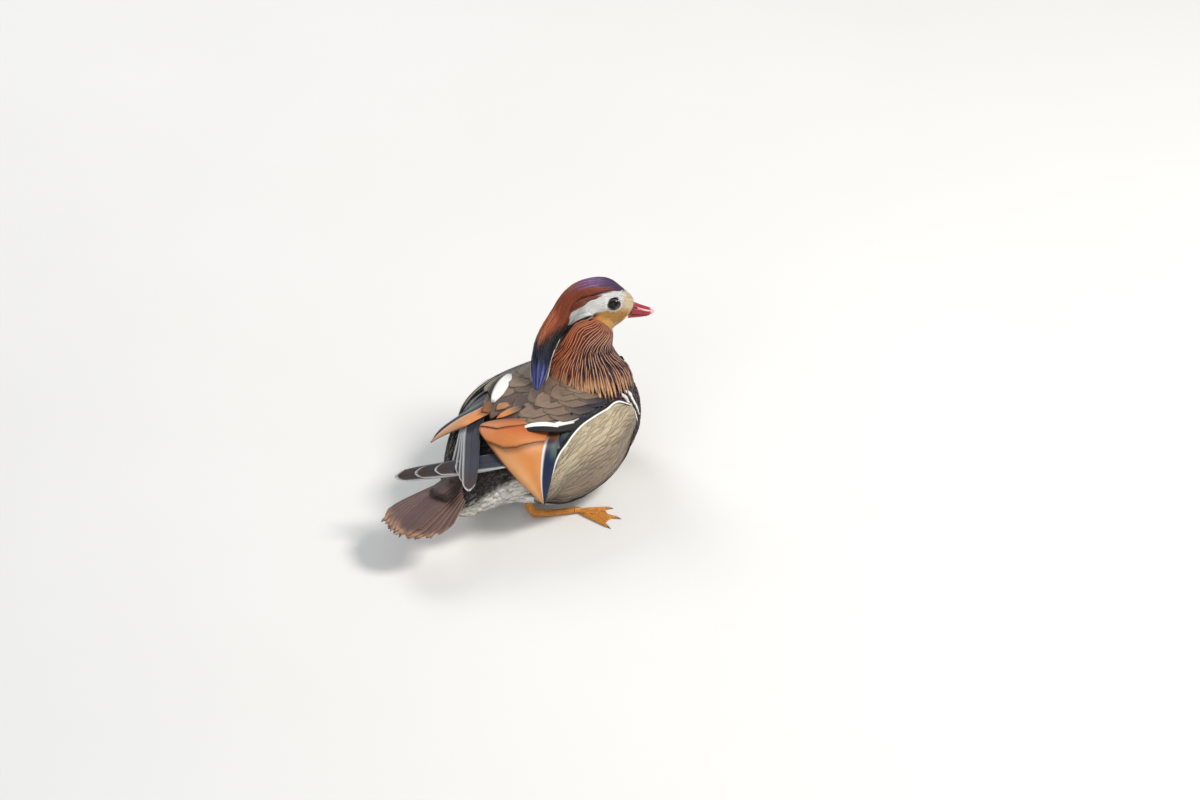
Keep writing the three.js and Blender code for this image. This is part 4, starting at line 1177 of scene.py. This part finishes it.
def wear_flank(side):
    i, k = np.divmod(np.arange(FLANK_ROWS * FLANK_COLUMNS), FLANK_COLUMNS)
    s = (i + rng.uniform(-0.15, 0.15, len(i))) / (FLANK_ROWS - 1) * 0.84
    q = (k + 0.5 * (i % 2) + rng.uniform(-0.15, 0.15, len(i))) / (FLANK_COLUMNS - 0.5)
    q = np.clip(q, 0.055, 0.97)
    long = rng.uniform(0.22, 0.26, len(i))
    t = np.linspace(0, 1, len(BROAD))[None]
    run = np.clip(s[:, None] + long[:, None] * t - 0.05, 0, 1.02)
    up = flank_normal(side, run, q[:, None])
    spine = flank_point(side, run, q[:, None], 0.0) + up * (0.3 * t)[..., None]
    widths = mix(18, 22, s) * np.interp(q, [0.06, 0.25], [0.5, 1]) * rng.uniform(0.92, 1.08, len(s))
    blades(f"flank_feathers_{side}", spine, up, share_of(BROAD, widths),
           lambda p, f: flank_colour(*flank_place(side, p)),
           flank_plumage, "flank", columns=11, thick=0.2, camber=0.02, rounded=0.18,
           patches=np.stack([s, q], -1), replaces=(f"flank_{side}",))


def wear_flank_border(side):
    """A white line edged with black along the flank's upper edge."""
    s = np.linspace(0.03, 0.99, 70)[None]
    q = np.array([[0.016], [-0.006]])
    up = flank_normal(side, s, q + 0.03)
    spine = flank_point(side, s, q, 0.0) + up * np.array([2.6, 1.9])[:, None, None]
    half = np.array([[1.15], [2.3]]) * np.interp(s, [0.03, 0.12, 0.9, 0.99], [0.3, 1, 0.9, 0.2])
    blades(f"flank_border_{side}", spine, up, half,
           lambda p, f: np.array([WHITE, BLACK])[:, None, None],
           pale_plumage, "flank", columns=7, thick=0.8)


flank_plumage = plumage("flank_plumage", barbs=40, barb_shade=0.1, bars=22, streak=0.08, slant=0.5)
for side in SIDES:
    wear_flank(side)
    wear_flank_border(side)


# Shoulder bars: two white and two black ribbons of feathers before the flank

# x and the angle from the ridge, from the top of the bars down
BAR_LINE = np.array([[70, 40], [76, 48], [82, 59], [87, 74], [91, 95]])
BAR_STEP = 4.2
BARS = (WHITE, BLACK, WHITE, BLACK)  # from the rear one
BAR_LIFTS = np.array([1.9, 1.6, 1.9, 1.6])


def wear_bars(side, sign):
    share = np.linspace(0, 1, 60)
    step_on = BAR_STEP * np.interp(share, [0, 0.5, 1], [0.75, 1.1, 0.8])
    x, angle = along(BAR_LINE, share).T
    x = x + (np.arange(len(BARS))[:, None] - 0.5) * step_on
    spine, up = body.nearest(body_point(x, sign * angle, 1.5))
    spine = spine + up * BAR_LIFTS[:, None, None]
    half = 0.62 * step_on * np.interp(share, [0, 0.1, 0.85, 1], [0.4, 1, 1, 0.2])
    half = half + 0.12 * np.sin(share * 150)
    blades(f"shoulder_bars_{side}", spine, up, np.tile(half, (len(BARS), 1)),
           lambda p, f: np.array(BARS)[:, None, None],
           pale_plumage, "plumage_body", columns=9, thick=1.2, camber=0.2)


for side, sign in SIDES.items():
    wear_bars(side, sign)


# Wings: scapulars over the folded wing, secondaries beside the flank and white stripes between them

def over_wing(rows, sign):
    """Feathers given by root and tip, each as x and angle off the back's ridge.

    Gives shares down the feathers, x and angle there, and what makes spines and outward directions
    from a lift.
    """
    start, end = np.moveaxis(np.array(rows, float), 1, 0)
    t = np.linspace(0, 1, len(BROAD))[None]
    x, off = np.moveaxis(mix(start[:, None], end[:, None], t[..., None]), -1, 0)

    def spine(lift):
        points = body_point(x, sign * off, lift)
        return points, unit(points - body_point(x, sign * off, 0.0))

    return t, x, off, spine


# Root x and tip x, angles from the ridge at the innermost and outermost, count and width of each row
SCAPULAR_ROWS = (
    (54, 10, 11, 34, 5, 32),
    (38, -12, 9, 38, 5, 36),
    (18, -34, 8, 39, 5, 36),
    (-6, -58, 8, 33, 4, 32),
    (-28, -76, 8, 20, 3, 24),
)


def wing_lift(x, off):
    """How high the folded wing stands off the back: lower at its front and where the flank covers it."""
    high = step(60, 30, x) * step(-95, -50, x)
    return 2 + 6.5 * high * (1 - 0.6 * step(32, 46, off)) * step(-4, 9, off)


def scapular_colour(x, off, down):
    slate = step(23, 34, off + 0.12 * x) * step(-34, -8, x)
    return tinted(
        OLIVE,
        (TAUPE, step(-10, 50, x) * 0.45),
        (UMBER * 0.9, step(13, 7, off) * step(10, -20, x) * 0.7),
        (UMBER, step(0.4, 0.1, down) * 0.3),
        (SLATE * 0.55, slate),
        (NAVY, slate * step(0.3, 0.8, down) * 0.4),
        (TAUPE, step(0.7, 0.95, down) * 0.35 * (1 - slate)),
    )


def wear_scapulars(side, sign):
    rows, widths, layer = [], [], []
    for row, (root, tip, inner, outer, count, width) in enumerate(SCAPULAR_ROWS):
        for share in np.linspace(0, 1, count):
            off = mix(inner, outer, share)
            start = (root - 5 * share + rng.uniform(-2, 2), off)
            rows.append((start, (tip + 6 * share, off - 3 + rng.uniform(-1, 1))))
            widths.append(width * (1 - 0.32 * share) * rng.uniform(0.92, 1.08))
            layer.append(1.6 * (1 - share) + 0.05 * row)
    t, x, off, spine = over_wing(rows, sign)
    lift = wing_lift(x, off) + np.array(layer)[:, None] + mix(-0.9, 0.9, t)
    blades(f"scapulars_{side}", *spine(lift), share_of(BROAD, widths),
           lambda p, f: scapular_colour(x[..., None], off[..., None], f[..., 1]),
           wing_plumage, "wing", columns=13, thick=0.25, camber=0.04, rounded=0.24, ragged=0.03,
           replaces=(f"wing_{side}",))


# Root and tip as x and angle
SECONDARIES = (
    ((30, 46), (-20, 51)), ((12, 47), (-40, 55)), ((-6, 49), (-58, 62)),
    ((-24, 53), (-72, 72)), ((-34, 44), (-80, 58)), ((-44, 34), (-88, 46)),
)
SECONDARY_WIDTH = 19


def mirrored(feather, sign):
    """Across a feather from 0 to 1, the other way round on the bird's right."""
    return feather[..., 0] if sign > 0 else 1 - feather[..., 0]


def wear_secondaries(side, sign):
    t, x, _, spine = over_wing(SECONDARIES, sign)
    order = 0.35 * np.arange(len(x))[::-1, None]

    def colour(p, f):
        edge = np.maximum(f[..., 1], 1 - mirrored(f, sign))
        return tinted(
            SLATE * 0.9,
            (TEAL * 0.8, step(0.35, 0.6, f[..., 1])),
            (DEEP_BLUE, step(0.62, 0.8, f[..., 1])),
            (VENT, step(0.95, 0.97, edge)),
        )

    blades(f"secondaries_{side}", *spine(mix(1.6, 3.2, t) + order),
           share_of(BROAD, [SECONDARY_WIDTH] * len(x)), colour,
           wing_plumage, "wing", columns=13, thick=0.4, camber=0.05, rounded=0.2)


# White outer scapulars edged in black: root and tip as x and angle, width and its white share
STRIPES = {
    "right": (
        ((9, 41), (-28, 42), 13, 0.45),
        ((-4, 43), (-43, 36), 14, 0.45),
        ((-24, 41), (-67, 23), 14, 0.45),
    ),
    "left": (
        ((-14, 29), (-62, 11), 22, 0.72),
    ),
}


def wear_stripes(side, sign):
    starts, ends, widths, white = zip(*STRIPES[side])
    t, x, off, spine = over_wing(list(zip(starts, ends)), sign)
    order = 0.5 * np.arange(len(x))[:, None]
    white = np.array(white)[:, None, None]

    def colour(p, f):
        inner = 1 - mirrored(f, sign)
        cover = step(-0.02, 0.02, white - inner) * step(0.02, 0.05, inner)
        return tinted(BLACK, (WHITE, cover * step(1.0, 0.97, f[..., 1])))

    blades(f"scapular_stripes_{side}", *spine(wing_lift(x, off) + mix(2.4, 2.8, t) + order),
           share_of(BROAD, widths), colour,
           pale_plumage, "wing", columns=15, thick=0.4, camber=0.05, rounded=0.25)


wing_plumage = plumage("wing_plumage", roughness=0.5, barbs=44, barb_shade=0.14, slant=0.5,
                       shaft=UMBER, shaft_width=0.02)
for side, sign in SIDES.items():
    wear_scapulars(side, sign)
    wear_secondaries(side, sign)
    wear_stripes(side, sign)


# Sails: the last wing feather, its inner web spread into an upright fan

SAIL_RIB = 0.25  # share of the breadth at which the rib lies
SAIL_LINES = {
    "right": {
        "web": [[-24, -58, 109], [-36, -69, 105], [-48, -79, 93], [-60, -85, 70], [-69, -86, 45]],
        "rib": [[-26, -46, 108], [-50, -65, 108], [-62, -74, 98], [-70, -81, 74], [-70, -85, 45]],
        "inner": [[-50, -14, 114], [-93, -2, 115.5], [-103, -30, 110], [-97, -63, 86], [-71, -84, 46]],
    },
    "left": {
        "web": [[-28, 50, 112], [-58, 38, 113], [-84, 53, 94], [-100, 65, 76], [-110, 67, 63]],
        "rib": [[-30, 36, 112], [-62, 25, 115.5], [-86, 41, 98], [-101, 57, 78], [-111, 66, 63]],
        "inner": [[-50, 12, 115], [-92, 7, 119], [-110, 9, 116], [-114, 38, 90], [-111, 65, 64]],
    },
}
SAIL_GRID = (70, 48)
SAIL_THICK = 1.0
SAIL_BARBS = 58


def sail_points(side, s, q, face):
    """On the upper face (1) or the lower (-1) of a sail, at shares down it and from its outer edge."""
    lines = SAIL_LINES[side]
    web, rib, inner = (along(lines[key], s) for key in ("web", "rib", "inner"))
    across = inner - web
    breadth = np.linalg.norm(across, axis=-1)
    normal = unit(np.cross(across, run_of(lambda at: along(lines["rib"], at), s)))
    normal = normal * np.sign(normal[..., 2:])
    past = (q - SAIL_RIB) / (1 - SAIL_RIB)
    outer = mix(web, rib, (q / SAIL_RIB)[..., None])
    point = np.where(past[..., None] < 0, outer, mix(rib, inner, past[..., None]))
    belly = np.where(past < 0, 0, np.sin(math.pi * past.clip(0)) * breadth * 0.1)
    barb = 0.14 * np.sin(2 * math.pi * (s * SAIL_BARBS - np.abs(past) * 14))
    ridge = 0.7 * np.exp(-((past * breadth / 1.1) ** 2))
    edge = np.clip(np.minimum(q, 1 - q) * 14, 0.15, 1)
    lift = belly + barb * edge + face * (SAIL_THICK / 2 * edge + ridge * (face > 0))
    return point + normal * lift[..., None]


def sail_colour(s, q):
    past = (q - SAIL_RIB) / (1 - SAIL_RIB)
    # glow: pale apricot bands across the orange inner web, painted highlights
    glow = np.sin(past * 7 + s * 5) * 0.5 + 0.5
    inner = tinted(
        ORANGE,
        (APRICOT, step(0.3, 0.8, s) * glow * 0.7),
        (RUST * 1.3, step(0.25, 0.0, s) * 0.7),
        (UMBER, step(0.93, 0.985, q) * step(0.35, 0.6, s) * 0.8),
    )
    outer = tinted(
        DEEP_BLUE,
        (TEAL, step(0.15, 0.3, s) * step(0.55, 0.4, s) * step(0.16, 0.06, q)),
        (BLACK, step(0.85, 0.97, s) * 0.6),
        (ORANGE * 0.8, step(0.25, 0.1, s)),
    )
    colour = np.where((past < 0)[..., None], outer, inner)
    return tinted(colour, (WHITE, step(0.028, 0.012, np.abs(past)) * step(0.1, 0.3, s)))


def wear_sheet(name, side, s, q, lift, colour, replaces=()):
    """A sheet over part of a sail, at shares down and across it, raised by a lift."""
    raised = UPWARD * lift[..., None]
    points = np.concatenate([sail_points(side, s, q, face) + raised for face in (1, -1)])
    place = np.arange(s.size).reshape(s.shape)
    quads = grid_quads(place)
    rim = np.concatenate([place[0, :-1], place[:-1, -1], place[-1, :0:-1], place[:0:-1, 0]])
    after = np.roll(rim, -1)
    walls = np.stack([rim, after, after + place.size, rim + place.size], -1)
    faces = np.concatenate([quads, quads[:, ::-1] + place.size, walls])
    piece = made(name, points, faces.tolist(), sail_plumage, replaces)
    select_only(piece)
    bpy.ops.object.mode_set(mode="EDIT")
    bpy.ops.mesh.select_all(action="SELECT")
    bpy.ops.mesh.normals_make_consistent(inside=False)
    bpy.ops.object.mode_set(mode="OBJECT")
    down, over = even_grid(*s.shape)
    upper = np.stack([over, down], -1) * [0.48, 0.98] + [0.01, 0.01]
    set_uv(piece.data, "feather", np.concatenate([np.stack([q, s], -1)] * 2))
    set_uv(piece.data, "OFBake", np.concatenate([upper, upper + [0.5, 0]]))
    set_colour(piece.data, np.concatenate([colour] * 2))
    set_number(piece.data, "tone", np.zeros(2 * s.size))


# Feathers over the sails' roots: pairs of share across the sail and length there, lift, colour and
# brightness of its orange
TERTIALS = {
    "right": (
        (((0.27, 0.24), (0.42, 0.36), (0.6, 0.45), (0.8, 0.5), (1.0, 0.46)), 1.5, RUST, 1.0),
        (((0.5, 0.12), (0.62, 0.22), (0.8, 0.3), (1.0, 0.27)), 3.0, COPPER, 0.9),
    ),
    "left": (
        (((0.3, 0.16), (0.6, 0.22), (0.85, 0.21), (1.0, 0.14)), 1.5, UMBER, 0.45),
    ),
}
TERTIAL_GRID = (36, 30)


def wear_sail(side):
    s, q = even_grid(*SAIL_GRID)
    colour = sail_colour(s, q)
    for ends, *_ in TERTIALS[side]:
        # shade: painted shadow, the sail darkened in a band just below each tertial's edge
        shade = step(0.07, 0.0, s - np.interp(q, *zip(*ends)))
        colour = tinted(colour, (UMBER, shade * 0.55))
    wear_sheet(f"sail_feather_{side}", side, s, q, 0 * s, colour, (f"sail_{side}",))


def wear_tertials(side):
    """Shorter feathers over a sail's root, each ending along its own curve."""
    for k, (ends, lift, base, bright) in enumerate(TERTIALS[side]):
        t, over = even_grid(*TERTIAL_GRID)
        q = mix(ends[0][0], ends[-1][0], over)
        s = t * np.interp(q, *zip(*ends))
        colour = tinted(
            base,
            (ORANGE * bright, step(0.3, 0.9, t) * 0.8),
            (UMBER, step(0.35, 0.0, t) * 0.6),
            (UMBER, step(0.93, 0.99, t) * 0.5),
        )
        wear_sheet(f"tertial_{side}_{k}", side, s, q, lift + 0.4 * np.sin(math.pi * over), colour)


sail_plumage = plumage("sail_plumage", roughness=0.42, barbs=SAIL_BARBS, barb_shade=0.14,
                       slant=0.2, streak=0.1)
for side in SIDES:
    wear_sail(side)
    wear_tertials(side)


# Tips of two inner tertials on the back, orange with a dark edge: root and tip as x and angle
ORANGE_TIPS = (((-34, 2), (-66, 4)), ((-40, -8), (-75, -1)))
ORANGE_TIP_LIFTS = (9, 11)
ORANGE_TIP_WIDTHS = (15, 11)


def wear_orange_tips():
    t, _, _, spine = over_wing(ORANGE_TIPS, 1)
    points, _ = spine(np.array(ORANGE_TIP_LIFTS)[:, None] + mix(-1, 1, t))

    def colour(p, f):
        glow = step(0.3, 0.6, f[..., 1]) * np.array([0.45, 1])[:, None, None]
        edge = step(0.84, 0.9, off_shaft(f))
        return tinted(OLIVE, (ORANGE, glow), (BLACK, edge), (UMBER, step(0.3, 0.1, f[..., 1])))

    blades("orange_tips", points, np.broadcast_to(UPWARD, points.shape),
           share_of(BROAD, ORANGE_TIP_WIDTHS), colour,
           wing_plumage, "wing", columns=13, thick=0.5, camber=0.1, rounded=0.3)


wear_orange_tips()


# Primaries: the wing tips cross over the rump, the left wing's above the right wing's

# Lean of the feathers' faces, root, a place on the way and tip of the first, and step to the next tip
PRIMARY_PATHS = {
    "left": ((0, 0, 1), (-74, 24, 109), (-102, 1, 110.5), (-157, -61, 87), (5.5, 14, 1)),
    "right": ((-0.32, -0.5, 1), (-70, -54, 99), (-108, -39, 94), (-200, 18, 84), (19, -12, 2.2)),
}
PRIMARIES = 4
PRIMARY_STEP = 0.9
PRIMARY_WIDTH = 19


def wear_primaries(side, sign):
    lean, root, over, tip, next_tip = np.array(PRIMARY_PATHS[side], float)
    lean = unit(lean)
    k = np.arange(PRIMARIES)[:, None]
    lift = lean * PRIMARY_STEP * (k[::-1] if side == "left" else k)
    controls = np.stack([
        root + lift * 0.8,
        over + next_tip * 0.25 * k + lift,
        mix(over, tip, 0.5) + next_tip * 0.6 * k + lift,
        tip + next_tip * k + lift,
    ], 1)
    spine = curves(controls, len(PLANK) * 2)
    half = share_of(resampled(PLANK, spine.shape[1]), [PRIMARY_WIDTH] * PRIMARIES)

    def colour(p, f):
        pale_side = 1 - mirrored(f, sign)
        end = f[..., 1] + 0.1 * off_shaft(f) ** 2.4 - 0.04 * (1 - pale_side)
        edge = np.maximum(step(0.9, 0.94, pale_side), step(0.95, 0.965, end))
        return tinted(
            SLATE,
            (UMBER * 1.4, step(0.72, 0.95, f[..., 1])),
            (WHITE, edge * step(0.2, 0.35, f[..., 1])),
        )

    blades(f"primary_feathers_{side}", spine, np.broadcast_to(lean, spine.shape), half, colour,
           flight_plumage, "primaries", columns=13, thick=0.6, camber=0.02, rounded=0.1, ragged=0.012,
           replaces=(f"primaries_{side}",))


flight_plumage = plumage("flight_plumage", roughness=0.4, barbs=60, slant=0.5, shaft=BLACK,
                         shaft_width=0.05, streak=0.12)
for side, sign in SIDES.items():
    wear_primaries(side, sign)


# Tail: a fan of frayed feathers bent to the right, with dark coverts over its root

TAIL_ROOT = np.array([-132, -21, 79])
TAIL_BEND = 7
TAIL_DROOP = 15
TAIL_FEATHERS = 12
TAIL_LENGTH = 116
TAIL_WIDTH = 25
TAIL_STATIONS = 24
TAIL_COVERTS = 25


def tail_spines(degrees, lengths, height, stations):
    heading = (180 + TAIL_BEND - degrees) * DEGREE
    droop = np.full_like(heading, -math.tan(TAIL_DROOP * DEGREE))
    backwards = np.stack([np.cos(heading), np.sin(heading), droop], -1)
    t = np.linspace(0, 1, stations)[None, :, None]
    rise = np.interp(t, [0, 0.35, 0.7, 1], [0, 1.2, 2, 1]) + height[:, None, None]
    spine = TAIL_ROOT + backwards[:, None] * (t * lengths[:, None, None] - 8) + UPWARD * rise
    return spine, np.broadcast_to(UPWARD, spine.shape)


def wear_tail_feathers():
    q = np.linspace(-1, 1, TAIL_FEATHERS)
    lengths = TAIL_LENGTH * (1 - np.where(q < 0, 0.24, 0.06) * q * q)
    lengths = lengths * rng.uniform(0.98, 1.0, len(q))
    spine, up = tail_spines(q * 24, lengths, -1 - 6.6 * np.abs(q), TAIL_STATIONS)
    half = share_of(resampled(PLANK, TAIL_STATIONS), [TAIL_WIDTH] * len(q))

    def colour(p, f):
        fringe = step(0.88, 0.98, f[..., 1] + 0.08 * off_shaft(f))
        return tinted(DUSK * 0.9, (UMBER, step(0.5, 0.1, f[..., 1]) * 0.8), (TAN, fringe * 0.8))

    blades("tail_feathers", spine, up, half, colour,
           plumage("tail_plumage", barbs=60, barb_shade=0.3, slant=0.55, shaft=UMBER,
                   shaft_width=0.04, rim=TAN * 0.8, rim_width=0.06),
           "tail", columns=21, thick=0.6, camber=0.02, rounded=0.13, ragged=0.1, replaces=("tail",))


def wear_tail_coverts():
    layer, k = np.divmod(np.arange(TAIL_COVERTS), 9)
    q = (k - 4 + 0.5 * (layer % 2)) / 4.5
    lengths = 52 - 10 * layer + rng.uniform(-2, 2, len(q))
    spine, up = tail_spines(q * 20, lengths, 3.2 - 2.5 * np.abs(q) + 0.6 * layer, len(BROAD))
    blades("tail_coverts", spine, up, share_of(BROAD, rng.uniform(15, 18, len(q))),
           lambda p, f: tinted(DUSK * 0.55, (UMBER * 0.6, step(0.8, 0.2, f[..., 1]))),
           plumage("covert_plumage", barbs=26, rim=UMBER, roughness=0.45),
           "tail", columns=9, thick=0.5, camber=0.06, rounded=0.14, ragged=0.03)


wear_tail_feathers()
wear_tail_coverts()


# Legs and webbed feet

TOE_ROOT = (-11, 75)  # of the left foot
# Angle from straight ahead and reach of the three front toes and the hind one
TOES = ((28, 36), (54, 46), (80, 44), (218, 13))
CLAW_LENGTH = 6.5
CLAW_HEIGHT = 1.9


def made_claw(x, y, heading):
    """A flattened cone, bent down along its length and turned to a toe's heading."""
    bpy.ops.mesh.primitive_cone_add(
        vertices=16, radius1=1.5 * MM, radius2=0.15 * MM, depth=CLAW_LENGTH * MM)
    claw = bpy.context.object
    for vertex in claw.data.vertices:
        reach = vertex.co.z / MM + CLAW_LENGTH / 2
        vertex.co.x *= 0.7
        vertex.co.y -= 0.035 * reach**2 * MM
    turns = [Matrix.Rotation(angle, 4, axis) for angle, axis in
             ((heading, "Z"), (math.pi / 2, "Y"), (math.pi / 2, "Z"))]
    claw.data.transform(turns[0] @ turns[1] @ turns[2])
    claw.data.transform(Matrix.Translation(Vector((x, y, CLAW_HEIGHT)) * MM))
    return claw


def wear_foot(side, sign):
    for part in ("leg", "foot"):
        piece = melted(f"{part}_scaled_{side}", (f"{part}_{side}",), voxel=0.7, smooth=3)
        settle(piece, scales, (f"{part}_{side}",))
    claws = []
    for angle, length in TOES:
        heading = sign * angle * DEGREE
        x = TOE_ROOT[0] + math.cos(heading) * length
        y = sign * TOE_ROOT[1] + math.sin(heading) * length
        claws.append(made_claw(x, y, heading))
    select_only(*claws)
    bpy.ops.object.join()
    claw = bpy.context.object
    claw.name = f"claws_{side}"
    bpy.ops.object.transform_apply(location=True, rotation=True, scale=True)
    bpy.ops.object.shade_smooth()
    settle(claw, horn)


scales = leg_scales()
horn = claw_horn()
for side, sign in SIDES.items():
    wear_foot(side, sign)


# Studio: floor, light and the photograph's camera

def add_light(name, place, size, watts, colour):
    light = bpy.data.lights.new(name, "AREA")
    light.energy = watts
    light.size = size
    light.color = colour
    lamp = bpy.data.objects.new(name, light)
    lamp.location = place
    lamp.rotation_euler = (-Vector(place)).to_track_quat("-Z", "Y").to_euler()
    bpy.context.scene.collection.objects.link(lamp)


bpy.ops.object.select_all(action="DESELECT")
bpy.ops.mesh.primitive_plane_add(size=12)
floor = bpy.context.object
floor.name = "floor"
floor.data.materials.append(studio_paper())

bpy.context.scene.view_settings.view_transform = "Standard"
add_light("key", (1.1, -1.3, 2.3), 0.8, 62, (1.0, 0.96, 0.9))
add_light("fill", (-2.0, -1.2, 1.4), 1.8, 16, (0.9, 0.95, 1.0))
add_light("rim", (0.2, 2.0, 1.8), 1.2, 22, (1.0, 1.0, 1.0))
world = bpy.data.worlds.new("studio")
world.use_nodes = True
world.node_tree.nodes["Background"].inputs["Color"].default_value = (0.86, 0.9, 0.95, 1)
world.node_tree.nodes["Background"].inputs["Strength"].default_value = 0.42
bpy.context.scene.world = world

CAMERA_RIGHT = Vector((0.777, -0.629, 0.0))
CAMERA_UP = Vector((0.370, 0.457, 0.809))
CAMERA_BACK = Vector((-0.509, -0.629, 0.588))
CAMERA_DISTANCE = 9.0
CAMERA_AIM = CAMERA_RIGHT * 0.061 + CAMERA_UP * 0.088
FRAME_WIDTH = 1.354  # how much of the bird's plane the picture shows across
camera = bpy.data.objects.new("camera", bpy.data.cameras.new("camera"))
camera.data.lens = camera.data.sensor_width * CAMERA_DISTANCE / FRAME_WIDTH
turned = Matrix([CAMERA_RIGHT, CAMERA_UP, CAMERA_BACK]).transposed().to_4x4()
camera.matrix_world = Matrix.Translation(CAMERA_AIM + CAMERA_BACK * CAMERA_DISTANCE) @ turned
bpy.context.scene.collection.objects.link(camera)
bpy.context.scene.camera = camera
